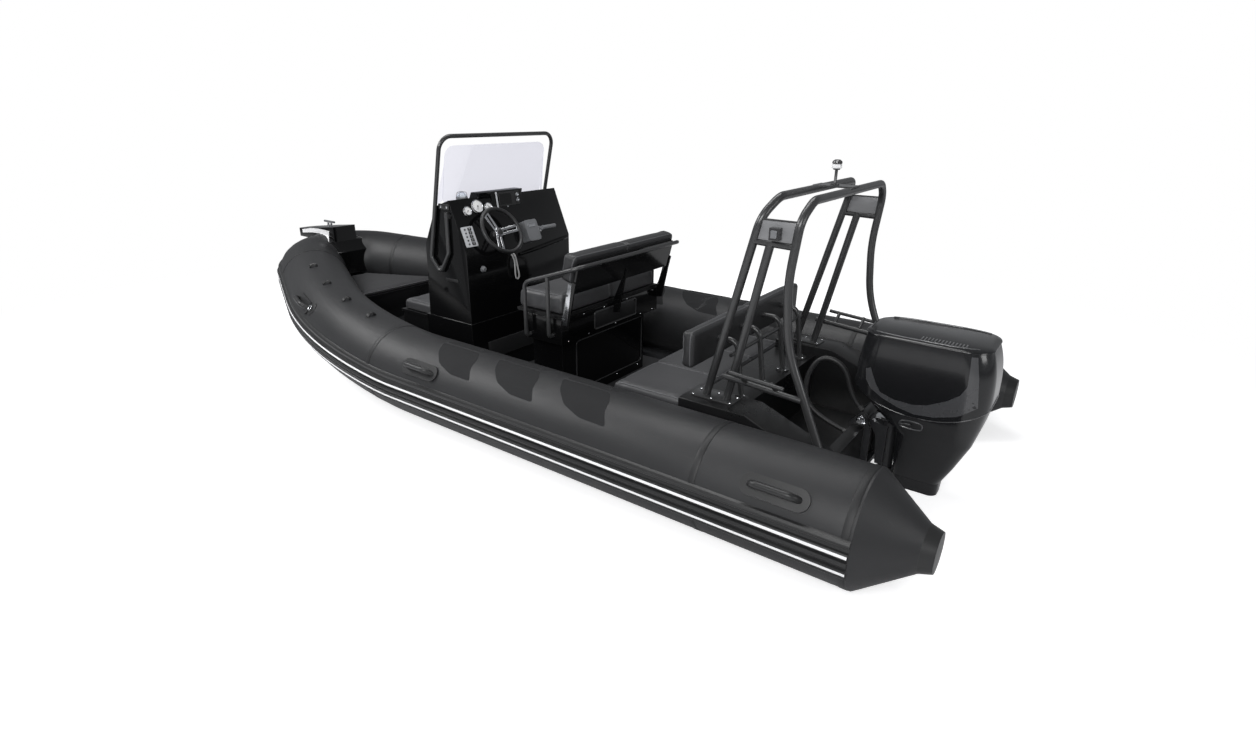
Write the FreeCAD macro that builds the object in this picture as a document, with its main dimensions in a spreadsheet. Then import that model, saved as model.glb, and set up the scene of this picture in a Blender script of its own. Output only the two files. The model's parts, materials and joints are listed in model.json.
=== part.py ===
import FreeCAD, Part
import math
import os
import re
import Sketcher
from FreeCAD import Placement, Rotation, Vector

# Rigid inflatable boat with a centre console, a helm seat, a stern bench, a tube arch and an outboard.
# Millimetres and degrees. +X is forward, +Y is port and +Z is up. The origin lies on the centreline,
# in the plane of the waterline, above the centre of buoyancy.

SIZES = (
    # name, value, what it is
    # --- the inflatable collar
    ("tube_radius", 250, "radius of the inflatable collar"),
    ("tube_offset", 934, "from the centreline to the collar's axis"),
    ("tube_level", 263, "height of the collar's axis above the water"),
    ("tube_stern", -2350, "where the straight collar ends and its cone starts"),
    ("sheer_start", 310, "where the collar starts to rise"),
    ("sheer_radius", 2200, "radius of the bend that starts the rise"),
    ("sheer_angle", 5.6, "rise of the forward collar"),
    ("flank_radius", 3200, "radius of the collar's long inward curve"),
    ("flank_angle", 24, "turn of that curve"),
    ("nose_radius", 390, "radius of the collar's axis round the nose"),
    ("cone_length", 205, "length of the stern cone"),
    ("cone_end_radius", 98, "radius of the stern cone's small end"),
    ("cap_length", 50, "length of the moulded cap on the cone"),
    ("cap_end_radius", 82, "radius of the cap's outer end"),
    ("strake_depth", 22, "how far the rub strake stands out"),
    ("strake_spread", 19, "half of the arc of the collar that the strake covers"),
    ("strake_drop", 4, "how far below the collar's side the strake is centred"),
    # --- hull and liner
    ("transom_face", -2060, "aft face of the transom"),
    ("transom_depth", 60, "thickness of the transom"),
    ("transom_level", 300, "top of the transom where the engine hangs"),
    ("keel_level", -240, "keel at the transom"),
    ("edge_angle", 48, "where the hull's edge meets the collar, below its side"),
    ("sole_level", 50, "top of the cockpit sole"),
    ("sole_depth", 30, "thickness of the sole"),
    ("sole_half", 640, "half width of the sole"),
    ("sole_taper", 1000, "where the sole starts to narrow"),
    ("locker_face", 1790, "aft face of the bow locker"),
    ("locker_nose", 2420, "forward end of the bow locker"),
    ("locker_half", 392, "half width of the locker at its face"),
    ("locker_nose_half", 120, "half width of the locker at its forward end"),
    ("lid_half", 380, "half width of the bow lid at its aft edge"),
    ("lid_nose_half", 84, "half width of the bow lid at its hinge"),
    ("locker_top", 360, "top edge of the locker's walls"),
    ("locker_floor", 150, "floor of the bow locker"),
    ("locker_wall", 20, "thickness of the locker's walls"),
    ("lid_depth", 18, "thickness of a locker or seat lid"),
    ("pad_depth", 42, "thickness of the bow pad"),
    ("gap", 5, "clearance between pieces that move past each other"),
    ("seam", 0.3, "clearance of a soft piece"),
    # --- bow step
    ("step_gap", 110, "from the bow locker's nose to the step's aft face"),
    ("step_nose", 3180, "forward end of the bow step"),
    ("step_top_aft", 815, "top of the step at its aft face"),
    ("step_top_nose", 738, "top of the step at its nose"),
    ("step_floor", 420, "foot of the step's aft face"),
    ("step_half", 104, "half width of the step's aft end"),
    ("step_nose_half", 84, "half width of the step's nose"),
    ("throat_half", 215, "half width of the throat under the step"),
    ("throat_level", 690, "top of the throat"),
    ("step_lip", 60, "thickness of the step's overhanging nose"),
    ("cleat_place", 2745, "middle of the bow cleat"),
    ("cleat_span", 150, "length over the cleat's horns"),
    ("cleat_bar", 9, "radius of the cleat's bar"),
    ("cleat_rise", 36, "height of the cleat's bar above its deck"),
    ("cleat_stem", 46, "distance between the cleat's two stems"),
    # --- console
    ("console_aft", 398, "aft face of the console"),
    ("console_half", 490, "half width of the console"),
    ("console_wall", 14, "thickness of the console's moulding"),
    ("dash_foot", 915, "where the dash starts to slope"),
    ("dash_top", 530, "station of the dash's upper edge"),
    ("dash_top_level", 1236, "height of the dash's upper edge"),
    ("console_crown", 660, "station of the console's forward upper edge"),
    ("console_crown_level", 1190, "height of that edge"),
    ("console_front", 790, "station of the console's front, high up"),
    ("console_front_level", 940, "height of that knee"),
    ("console_toe", 835, "station of the console's front at its foot"),
    ("plinth_level", 455, "height of the step round the console's foot"),
    ("plinth_out", 8, "how far the plinth stands out"),
    ("pod_port", 150, "port side of the raised pod for instruments"),
    ("pod_starboard", -122, "starboard side of that pod"),
    ("hood_port", 250, "port end of the hood over the dash"),
    ("hood_starboard", -142, "starboard end of that hood"),
    ("hood_level", 1262, "top of the hood"),
    ("kick_low", 195, "lower edge of the kick plate at the console's foot"),
    ("kick_high", 305, "upper edge of the kick plate"),
    ("kick_half", 370, "half width of the kick plate"),
    ("kick_depth", 34, "how far the kick plate's lower edge stands out"),
    ("screen_depth", 6, "thickness of the windscreen"),
    ("screen_foot", 640, "station of the windscreen's foot"),
    ("screen_top", 566, "station of the windscreen's top"),
    ("screen_top_level", 1556, "height of the windscreen's top edge"),
    ("screen_half", 448, "half width of the windscreen"),
    ("rail_radius", 13, "radius of the windscreen rail"),
    ("rail_top_level", 1614, "height of the windscreen rail's top bar"),
    ("rail_half", 505, "half width over the rail's legs, at their axes"),
    ("rail_foot_level", 768, "lowest point of the windscreen rail"),
    # --- seat ahead of the console
    ("front_seat_end", 1350, "forward end of the seat ahead of the console"),
    ("front_seat_half", 330, "half width of that seat"),
    ("front_seat_top", 345, "top of that seat's box"),
    ("front_pad", 88, "thickness of that seat's cushion"),
    ("box_wall", 16, "thickness of the seat boxes' walls"),
    # --- steering wheel and controls
    ("wheel_station", 351, "station of the steering wheel's centre"),
    ("wheel_side", 220, "steering wheel's centre to port of the centreline"),
    ("wheel_level", 1038, "height of the steering wheel's centre"),
    ("wheel_tilt", 32, "tilt of the steering wheel's shaft above level"),
    ("wheel_radius", 151, "radius of the rim's centre line"),
    ("wheel_grip", 13.5, "radius of the rim's section"),
    ("wheel_dish", 46, "depth from the rim's plane to the hub's back"),
    ("wheel_shaft", 12, "radius of the steering shaft"),
    ("bezel_face", 72, "from the rim's plane to the bezel that the shaft comes out of"),
    ("gauge_depth", 12, "how far a gauge stands out"),
    ("switch_side", 424, "middle of the switch panel to port of the centreline"),
    ("switch_rise", 105, "middle of the switch panel, up the dash from its foot"),
    ("switch_half", 46, "half width of the switch panel"),
    ("switch_tall", 65, "half height of the switch panel"),
    ("control_side", -75, "middle of the throttle control from the centreline"),
    ("control_rise", 66, "middle of the throttle control, up the dash from its foot"),
    ("control_half", 58, "half width of the throttle control"),
    ("control_tall", 72, "half height of the throttle control"),
    ("control_depth", 70, "how far the throttle control stands out"),
    ("compass_side", 343, "middle of the compass to port of the centreline"),
    ("compass_radius", 38, "radius of the compass dome"),
    # --- helm seat
    ("helm_box_front", -90, "front of the helm seat's box"),
    ("helm_box_aft", -391, "aft face of the helm seat's box"),
    ("helm_half", 500, "half width of the helm seat's box"),
    ("helm_box_top", 640, "top of the helm seat's box"),
    ("helm_pad_front", -20, "front of the helm seat's cushion"),
    ("helm_pad", 124, "thickness of the helm seat's cushion"),
    ("helm_foot_aft", -330, "aft face of the helm seat's foot"),
    ("helm_foot_half", 430, "half width of the helm seat's foot"),
    ("helm_foot_top", 478, "top of the helm seat's foot, where its box starts"),
    ("helm_pad_half", 490, "half width of the helm seat's cushion"),
    ("back_half", 515, "half width of the helm seat's back pad"),
    ("back_low", 868, "lower edge of the back pad"),
    ("back_high", 1048, "upper edge of the back pad"),
    ("back_front", -398, "front of the back pad"),
    ("back_depth", 96, "thickness of the back pad"),
    ("back_lean", 14, "lean of the seat's back"),
    ("panel_drop", 46, "from the middle of the back pad down to the middle of its panel"),
    ("back_bracket", 10, "thickness of the plates that carry the seat's back"),
    ("back_plate", 16, "thickness of the seat back's panel"),
    ("helm_rail_radius", 12.5, "radius of the helm seat's grab rail"),
    ("helm_rail_half", 533, "half width over the grab rail's legs, at their axes"),
    # --- stern bench
    ("bench_front", -830, "front of the bench"),
    ("bench_aft", -1300, "aft end of the bench"),
    ("bench_half", 612, "half width of the bench"),
    ("bench_top", 290, "top of the bench's box"),
    ("bench_pad", 105, "thickness of the bench's cushion"),
    ("bench_back_half", 640, "half width of the bench's back pad"),
    ("bench_back_low", 590, "lower edge of the bench's back pad"),
    ("bench_back_high", 792, "upper edge of the bench's back pad"),
    ("bench_back_front", -1270, "front of the bench's back pad"),
    ("bench_back_depth", 82, "thickness of the bench's back pad"),
    ("bracket_radius", 14, "radius of the tubes that carry the bench's back"),
    # --- stern deck
    ("deck_level", 455, "top of the side decks"),
    ("side_deck_inner", 470, "inner edge of the side decks"),
    ("side_deck_outer", 672, "outer edge of the side decks"),
    ("side_deck_front", -1300, "forward end of the side decks"),
    ("side_deck_knee", -1660, "where the side decks start to fall"),
    ("aft_deck_level", 400, "top of the deck behind the bench"),
    ("aft_deck_end", -1560, "aft edge of that deck"),
    ("well_floor", 88, "floor of the engine well"),
    # --- arch
    ("arch_plate", 6, "thickness of the arch's side plates"),
    ("arch_plate_side", 568, "from the centreline to the middle of a side plate"),
    ("arch_foot", 40, "radius of the arch's feet"),
    ("bridge_aft", -1830, "aft edge of the plate that carries the mast light"),
    ("bridge_front", -1637, "forward edge of that plate"),
    ("bridge_half", 55, "half width of that plate"),
    ("bridge_level", 1440, "underside of that plate"),
    ("bridge_depth", 8, "thickness of that plate"),
    ("light_station", -1726, "station of the mast light"),
    ("light_level", 1520, "foot of the mast light's head"),
    ("arch_radius", 19.5, "radius of the arch's tube"),
    # --- engine
    ("tilt_station", -2045, "station of the tilt axis"),
    ("tilt_level", 340, "height of the tilt axis"),
    ("tilt_pin", 15, "radius of the tilt tube"),
    ("ear_radius", 26, "radius of the brackets' ears round the tilt tube"),
    ("clamp_inner", 98, "from the centreline to the inner side of a clamp plate"),
    ("clamp_plate", 16, "thickness of a clamp plate"),
    ("steer_station", -2160, "station of the steering axis"),
    ("steer_tube", 38, "radius of the swivel bracket's steering tube"),
    ("steer_top", 318, "top of the steering tube"),
    ("steer_low", 70, "bottom of the steering tube"),
    ("arm_depth", 12, "thickness of the steering arm"),
    ("arm_tip", -2085, "forward end of the steering arm"),
    ("kingpin", 16, "radius of the pin that the engine steers on"),
    ("yoke_depth", 28, "depth of the lower yoke that holds the steering pin"),
    ("leg_front", -2205, "front of the engine's leg"),
    ("leg_aft", -2440, "aft edge of the engine's leg"),
    ("block_aft", -2440, "aft end of the powerhead"),
    ("block_low", 452, "lowest point of the powerhead"),
    ("cowl_wall", 6, "thickness of the upper cowl"),
    ("hub_level", -385, "height of the propeller's axis"),
    ("plate_level", -205, "top of the anti-ventilation plate"),
    ("plate_depth", 8, "thickness of the anti-ventilation plate"),
    ("plate_half", 92, "half width of the anti-ventilation plate"),
    ("plate_aft", -2622, "aft edge of the anti-ventilation plate"),
    ("bullet_radius", 52, "radius of the gearcase"),
    ("bullet_aft", -2478, "aft end of the gearcase"),
    ("bullet_length", 290, "length of the gearcase"),
    ("skeg_level", -668, "lowest point of the skeg"),
    ("prop_radius", 160, "radius of the propeller"),
    ("prop_hub", 48, "radius of the propeller's hub"),
    ("prop_length", 108, "length of the propeller's hub"),
    ("prop_shaft", 14, "radius of the propeller's shaft"),
    ("prop_pitch", 430, "pitch of the propeller"),
    ("prop_blades", 3, "blades of the propeller"),
    # --- collar fittings
    ("handle_span", 290, "length of a grab handle on the collar"),
    ("handle_width", 92, "width of a grab handle"),
    ("handle_bar", 15, "radius of the handle's grip"),
    ("handle_pad", 9, "thickness of the handle's base"),
    ("handle_turn", 36, "angle of the handles above the collar's side"),
    ("eye_radius", 9, "radius of the hole in a towing eye"),
    ("eye_depth", 12, "thickness of a towing eye"),
    ("eye_ring", 24, "outer radius of a towing eye"),
    ("eye_reach", 34, "how far aft of the transom the stern eyes' holes lie"),
    ("bow_eye_station", 2606, "station of the bow eye's hole"),
    ("bow_eye_level", 118, "height of the bow eye's hole"),
    ("stern_eye_side", 350, "from the centreline to a stern eye"),
    ("stern_eye_level", 170, "height of the stern eyes' holes"),
    ("light_stem", 7, "radius of the mast light's stem"),
)

PARTS_FOLDER = "parts"
os.makedirs(PARTS_FOLDER, exist_ok=True)

doc = FreeCAD.newDocument("RibBoat")
sheet = doc.addObject("Spreadsheet::Sheet", "sizes")
for row, (alias, amount, meaning) in enumerate(SIZES, 1):
    sheet.set(f"A{row}", meaning)
    sheet.set(f"B{row}", str(amount))
    sheet.setAlias(f"B{row}", alias)
doc.recompute()

pieces = []


# ---------------------------------------------------------------- sizes and expressions

def number(expression):
    """The value of a sum of sheet words and numbers, such as 'console_half - 2*console_wall'."""
    total = 0.0
    for term in str(expression).replace(" ", "").replace("-", "+-").split("+"):
        if not term:
            continue
        amount = -1.0 if term.startswith("-") else 1.0
        product, *divisors = term.lstrip("-").split("/")
        for factor in product.split("*"):
            amount *= float(getattr(sheet, factor)) if factor[0].isalpha() else float(factor)
        for divisor in divisors:
            amount /= float(divisor)
        total += amount
    return total


def point(across, along, up):
    return Vector(number(across), number(along), number(up))


def bind(item, prop, expression):
    """Tie a property to the sheet; plain words in the expression are the sheet's names."""
    item.setExpression(prop, re.sub(r"[a-z][a-z_]*", lambda word: "sizes." + word.group(), str(expression)))


def place(item, corner, turn=None):
    if turn:
        item.Placement = Placement(Vector(), Rotation(*turn))
    for axis, expression in zip("xyz", corner):
        bind(item, f"Placement.Base.{axis}", expression)


def piece(item, label):
    """Give a finished sub-part its name and keep it for the checks and the export."""
    item.Label = label
    pieces.append(item)
    return item


# ---------------------------------------------------------------- shapes that the pieces share

def box(name, corner, sides):
    item = doc.addObject("Part::Box", name)
    for prop, side in zip(("Length", "Width", "Height"), sides):
        bind(item, prop, side)
    place(item, corner)
    return item


def rod(name, start, length, radius, turn=None):
    """A round bar from start along +Z, or along whatever turn makes of +Z."""
    item = doc.addObject("Part::Cylinder", name)
    bind(item, "Radius", radius)
    bind(item, "Height", length)
    place(item, start, turn)
    return item


ALONG_X = (Vector(0, 1, 0), 90)
ALONG_Y = (Vector(1, 0, 0), -90)


def cut(name, base, *tools):
    for count, tool in enumerate(tools):
        result = doc.addObject("Part::Cut", f"{name}_{count}" if count + 1 < len(tools) else name)
        result.Base = base
        result.Tool = tool
        base = result
    return base


def fuse(name, *shapes):
    result = doc.addObject("Part::MultiFuse", name)
    result.Shapes = list(shapes)
    result.Refine = True
    return result


def mirror(name, source):
    """The starboard twin of a port piece."""
    twin = doc.addObject("Part::Mirroring", name)
    twin.Source = source
    twin.Normal = Vector(0, 1, 0)
    return twin


def solid(name, shape):
    item = doc.addObject("Part::Feature", name)
    item.Shape = shape
    return item


def slab(name, plane, corners, depth, middle="0"):
    """A PartDesign body: a straight-sided outline on an origin plane, padded equally to both sides.

    corners are (across, up) on that plane: (x, z) on XZ, (y, z) on YZ and (x, y) on XY.
    middle is where the middle of the pad lies along the plane's normal axis.
    """
    body = doc.addObject("PartDesign::Body", name)
    outline = body.newObject("Sketcher::SketchObject", name + "_outline")
    support = next(item for item in body.Origin.OriginFeatures if item.Role == plane + "_Plane")
    outline.AttachmentSupport = [(support, "")]
    outline.MapMode = "FlatFace"
    spots = [Vector(number(across), number(up), 0) for across, up in corners]
    for start, end in zip(spots, spots[1:] + spots[:1]):
        outline.addGeometry(Part.LineSegment(start, end), False)
    count = len(corners)
    for index in range(count):
        outline.addConstraint(Sketcher.Constraint("Coincident", index, 2, (index + 1) % count, 1))
    for index, (across, up) in enumerate(corners):
        for kind, expression, amount in (("DistanceX", across, spots[index].x), ("DistanceY", up, spots[index].y)):
            if amount == 0:
                axis = -2 if kind == "DistanceX" else -1
                outline.addConstraint(Sketcher.Constraint("PointOnObject", index, 1, axis))
                continue
            tie = outline.addConstraint(Sketcher.Constraint(kind, -1, 1, index, 1, amount))
            bind(outline, f"Constraints[{tie}]", expression)
    pad = body.newObject("PartDesign::Pad", name + "_pad")
    pad.Profile = outline
    pad.Midplane = True
    bind(pad, "Length", depth)
    axis = {"XZ": "y", "YZ": "x", "XY": "z"}[plane]
    bind(body, f"Placement.Base.{axis}", middle)
    body.Tip = pad
    return body


BEND_SHARE = 0.45  # of a run, at most, that the bend at each of its ends may take


def bent_path(points, radii):
    """Straight runs between points, joined by tangent arcs; radii has one value for each inner point."""
    edges = []
    start = points[0]
    for before, corner, after, radius in zip(points, points[1:], points[2:], radii):
        inward = (corner - before).normalize()
        outward = (after - corner).normalize()
        turn = inward.getAngle(outward)
        room = BEND_SHARE * min((corner - before).Length, (after - corner).Length)
        radius = min(radius, room / math.tan(turn / 2))
        reach = radius * math.tan(turn / 2)
        arc_start = corner - inward * reach
        arc_end = corner + outward * reach
        bisector = (outward - inward).normalize()
        centre = corner + bisector * (radius / math.cos(turn / 2))
        middle = centre - bisector * radius
        if (arc_start - start).Length > 0.01:
            edges.append(Part.LineSegment(start, arc_start).toShape())
        edges.append(Part.Arc(arc_start, middle, arc_end).toShape())
        start = arc_end
    edges.append(Part.LineSegment(start, points[-1]).toShape())
    return Part.Wire(edges)


def tube(name, points, radii, radius):
    """A round tube along straight runs and arcs, as a sweep of a circle bound to its radius."""
    path = solid(name + "_path", bent_path(points, radii))
    heading = (points[1] - points[0]).normalize()
    section = doc.addObject("Part::Circle", name + "_section")
    bind(section, "Radius", radius)
    section.Placement = Placement(points[0], Rotation(Vector(0, 0, 1), heading))
    sweep = doc.addObject("Part::Sweep", name)
    sweep.Sections = [section]
    sweep.Spine = (path, [f"Edge{count}" for count in range(1, len(path.Shape.Edges) + 1)])
    sweep.Solid = True
    return sweep


def loft(name, wires, ruled=True):
    sections = [solid(f"{name}_section_{count}", wire) for count, wire in enumerate(wires)]
    item = doc.addObject("Part::Loft", name)
    item.Sections = sections
    item.Solid = True
    item.Ruled = ruled
    return item


def outline(corners):
    return Part.makePolygon(corners + corners[:1])


def rounded_outline(centre, half_across, half_up, corner, across, up):
    """A closed rectangle with round corners, in the plane of the two unit vectors across and up."""
    def spot(side, rise):
        return centre + across * side + up * rise
    flat_across = half_across - corner
    flat_up = half_up - corner
    slant = corner * math.sqrt(0.5)
    edges = []
    signs = ((1, 1), (-1, 1), (-1, -1), (1, -1))
    for (side, rise), (next_side, next_rise) in zip(signs, signs[1:] + signs[:1]):
        upright = side * rise > 0
        first = spot(side * half_across, rise * flat_up) if upright else spot(side * flat_across, rise * half_up)
        last = spot(side * flat_across, rise * half_up) if upright else spot(side * half_across, rise * flat_up)
        middle = spot(side * (flat_across + slant), rise * (flat_up + slant))
        edges.append(Part.Arc(first, middle, last).toShape())
        if side * next_side < 0:
            landing = spot(next_side * flat_across, next_rise * half_up)
        else:
            landing = spot(next_side * half_across, next_rise * flat_up)
        edges.append(Part.LineSegment(last, landing).toShape())
    return Part.Wire(edges)


UP = Vector(0, 0, 1)
AHEAD = Vector(1, 0, 0)
PORT = Vector(0, 1, 0)


# ---------------------------------------------------------------- the inflatable collar

def collar_stretches():
    """The port half of the collar's axis, from stern to nose: (kind, length or radius, turn, axis)."""
    rise = math.radians(number("sheer_angle"))
    inward = math.radians(number("flank_angle"))
    offset = number("tube_offset")
    flank = number("flank_radius")
    nose = number("nose_radius")
    after_flank = offset - flank * (1 - math.cos(inward))
    flat = (after_flank - nose * math.cos(inward)) / math.sin(inward)
    normal = Vector(-math.sin(rise), 0, math.cos(rise))
    return (
        ("line", number("sheer_start - tube_stern"), 0, None),
        ("arc", number("sheer_radius"), number("sheer_angle"), -PORT),
        ("arc", flank, number("flank_angle"), -normal),
        ("line", flat, 0, None),
        ("arc", nose, 90 - number("flank_angle"), -normal),
    )


def along_collar(face):
    """Carry a face, drawn across the collar's port stern end, round the port half; one solid a stretch."""
    spot = point("tube_stern", "tube_offset", "tube_level")
    heading = Vector(AHEAD)
    solids = []
    for kind, amount, turn, axis in collar_stretches():
        if kind == "line":
            step = heading * amount
            solids.append(face.extrude(step))
            face = face.translated(step)
            spot = spot + step
            continue
        centre = spot + axis.cross(heading).normalize() * amount
        solids.append(face.revolve(centre, axis, turn))
        face = face.copy()
        face.rotate(centre, axis, turn)
        turning = Rotation(axis, turn)
        spot = centre + turning.multVec(spot - centre)
        heading = turning.multVec(heading)
    return solids


def collar_at(station):
    """The collar's axis where it passes a station: its distance from the centreline and its height."""
    rise = math.radians(number("sheer_angle"))
    level = number("tube_level")
    offset = number("tube_offset")
    start = number("sheer_start")
    if station <= start:
        return offset, level
    bend = number("sheer_radius")
    bend_end = start + bend * math.sin(rise)
    if station <= bend_end:
        turned = math.asin((station - start) / bend)
        return offset, level + bend * (1 - math.cos(turned))
    along = (station - bend_end) / math.cos(rise)
    height = level + bend * (1 - math.cos(rise)) + along * math.sin(rise)
    flank = number("flank_radius")
    inward = math.radians(number("flank_angle"))
    if along <= flank * math.sin(inward):
        return offset - flank * (1 - math.cos(math.asin(along / flank))), height
    beyond = along - flank * math.sin(inward)
    return offset - flank * (1 - math.cos(inward)) - beyond * math.tan(inward), height


def joined(solids):
    whole = solids[0].fuse(solids[1:])
    return whole.removeSplitter()


def both_sides(solids):
    twins = [part.mirror(Vector(), PORT) for part in solids]
    return joined(solids + twins)


def strake_face():
    """The rub strake's section at the stern: its inner side follows the collar."""
    radius = number("tube_radius")
    outer = radius + number("strake_depth")
    middle = point("tube_stern", "tube_offset", "tube_level")
    spread = math.radians(number("strake_spread"))
    drop = math.asin(number("strake_drop") / radius)

    def spot(reach, angle):
        return middle + PORT * (reach * math.cos(angle - drop)) + UP * (reach * math.sin(angle - drop))
    inner = Part.Arc(spot(radius, -spread), spot(radius, 0), spot(radius, spread)).toShape()
    shoulder = spread * 0.86
    rim = Part.Arc(spot(outer, shoulder), spot(outer, 0), spot(outer, -shoulder)).toShape()
    upper = Part.LineSegment(spot(radius, spread), spot(outer, shoulder)).toShape()
    lower = Part.LineSegment(spot(outer, -shoulder), spot(radius, -spread)).toShape()
    return Part.Face(Part.Wire([inner, upper, rim, lower]))


def make_collar():
    middle = point("tube_stern", "tube_offset", "tube_level")
    ring = Part.Circle(middle, AHEAD, number("tube_radius")).toShape()
    disc = Part.Face(Part.Wire([ring]))
    length = number("cone_length")
    cone = Part.makeCone(number("tube_radius"), number("cone_end_radius"), length, middle, -AHEAD)
    collar = piece(solid("collar", both_sides([cone] + along_collar(disc))), "inflatable_tube")
    tip = middle - AHEAD * length
    cap = Part.makeCone(number("cone_end_radius"), number("cap_end_radius"), number("cap_length"), tip, -AHEAD)
    twin = cap.mirror(Vector(), PORT)
    piece(solid("cone_caps", Part.makeCompound([cap, twin])), "cone_caps")
    piece(solid("strake", both_sides(along_collar(strake_face()))), "rub_strake")
    return collar


# ---------------------------------------------------------------- hull

HULL_STATIONS = (
    # station, keel above the keel at the transom, chine below the hull's edge, chine inside the edge
    (-2060, 0, 72, 55),
    (300, 0, 72, 55),
    (1250, 18, 150, 40),
    (1900, 72, 188, 28),
    (2350, 178, 168, 24),
    (2480, 262, 150, 26),
)

STEM = (
    # the stem closes under the nose of the collar: half width, height
    (0, 228),
    (30, 262),
    (46, 320),
    (-46, 320),
    (-30, 262),
)
STEM_STATION = 2680


def hull_section(station, keel_rise, chine_drop, chine_inset):
    """Keel, chine and edge of the deep vee hull at one station; the edge meets the collar's underside."""
    offset, level = collar_at(station)
    angle = math.radians(number("edge_angle"))
    edge = offset - number("tube_radius") * math.cos(angle)
    edge_level = level - number("tube_radius") * math.sin(angle)
    chine = edge - chine_inset
    chine_level = edge_level - chine_drop
    keel = number("keel_level") + keel_rise
    corners = ((0, keel), (chine, chine_level), (edge, edge_level), (-edge, edge_level), (-chine, chine_level))
    return outline([Vector(station, across, up) for across, up in corners])


def make_hull(collar):
    wires = [hull_section(*row) for row in HULL_STATIONS]
    wires.append(outline([Vector(STEM_STATION, across, up) for across, up in STEM]))
    block = loft("hull_block", wires)
    cockpit = slab("cockpit_space", "XY", cockpit_outline("0"), "600", "sole_level - sole_depth + 300")
    locker_seat = slab("locker_seat", "XY", bow_outline("locker_face", "locker_nose", "0"), "600", "locker_floor + 300")
    hull = piece(cut("hull", block, cockpit, locker_seat, collar), "hull_shell")
    piece(slab("sole", "XY", cockpit_outline("seam"), "sole_depth", "sole_level - sole_depth/2"), "deck_sole")
    eye = rod("bow_eye_ring", ("bow_eye_station", "-eye_depth/2", "bow_eye_level"),
              "eye_depth", "eye_ring", ALONG_Y)
    root = box("bow_eye_root", ("bow_eye_station - 90", "-eye_depth/2", "bow_eye_level - 20"), ("90", "eye_depth", "40"))
    hole = rod("bow_eye_hole", ("bow_eye_station", "-eye_depth", "bow_eye_level"),
               "2*eye_depth", "eye_radius", ALONG_Y)
    piece(cut("bow_eye", fuse("bow_eye_lug", eye, root), hole, block), "bow_eye")
    stern = []
    for side, name in (("stern_eye_side", "port"), ("-stern_eye_side", "starboard")):
        ring = rod(f"stern_eye_ring_{name}", ("transom_face - eye_reach", side, "stern_eye_level - eye_depth/2"),
                   "eye_depth", "eye_ring")
        root = box(f"stern_eye_root_{name}",
                   ("transom_face - eye_reach", f"{side} - eye_ring", "stern_eye_level - eye_depth/2"),
                   ("eye_reach - seam", "2*eye_ring", "eye_depth"))
        hole = rod(f"stern_eye_hole_{name}", ("transom_face - eye_reach", side, "stern_eye_level - eye_depth"),
                   "2*eye_depth", "eye_radius")
        stern.append(cut(f"stern_eye_{name}", fuse(f"stern_eye_lug_{name}", ring, root), hole))
    piece(fuse("stern_eye_pair", *stern), "stern_eyes")
    return hull


def cockpit_outline(inset):
    return (
        (f"aft_deck_end + {inset}", f"sole_half - {inset}"),
        ("sole_taper", f"sole_half - {inset}"),
        (f"locker_face - {inset}", f"locker_half - {inset}"),
        (f"locker_face - {inset}", f"-locker_half + {inset}"),
        ("sole_taper", f"-sole_half + {inset}"),
        (f"aft_deck_end + {inset}", f"-sole_half + {inset}"),
    )


# ---------------------------------------------------------------- stern: side decks, aft deck and engine well

def make_stern(collar, hull):
    """Side decks that fall to the transom, and the deck behind the bench with the engine well cut into it."""
    fall = (
        ("side_deck_front", "deck_level"),
        ("side_deck_knee", "deck_level"),
        ("transom_face", "transom_level"),
        ("transom_face", "sole_level"),
        ("side_deck_front", "sole_level"),
    )
    width = "side_deck_outer - side_deck_inner"
    block = slab("side_deck_block", "XZ", fall, width, "side_deck_outer/2 + side_deck_inner/2")
    port = cut("side_deck", block, collar, hull)
    both = fuse("side_decks", port, mirror("side_deck_starboard", port))
    piece(both, "side_decks")
    well = (
        ("side_deck_front", "sole_level"),
        ("side_deck_front", "aft_deck_level"),
        ("aft_deck_end", "aft_deck_level"),
        ("aft_deck_end", "well_floor"),
        ("transom_face + transom_depth", "well_floor"),
        ("transom_face + transom_depth", "transom_level"),
        ("transom_face", "transom_level"),
        ("transom_face", "sole_level"),
    )
    deck = cut("stern_deck", slab("stern_deck_block", "XZ", well, "2*side_deck_inner"), hull)
    piece(deck, "stern_well")
    return both, deck


# ---------------------------------------------------------------- bow: locker, its lid and pad, step and cleat

def bow_outline(aft, nose, inset, half="locker_half", nose_half="locker_nose_half"):
    return (
        (aft, f"{half} - {inset}"),
        (nose, f"{nose_half} - {inset}"),
        (nose, f"-{nose_half} + {inset}"),
        (aft, f"-{half} + {inset}"),
    )


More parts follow.
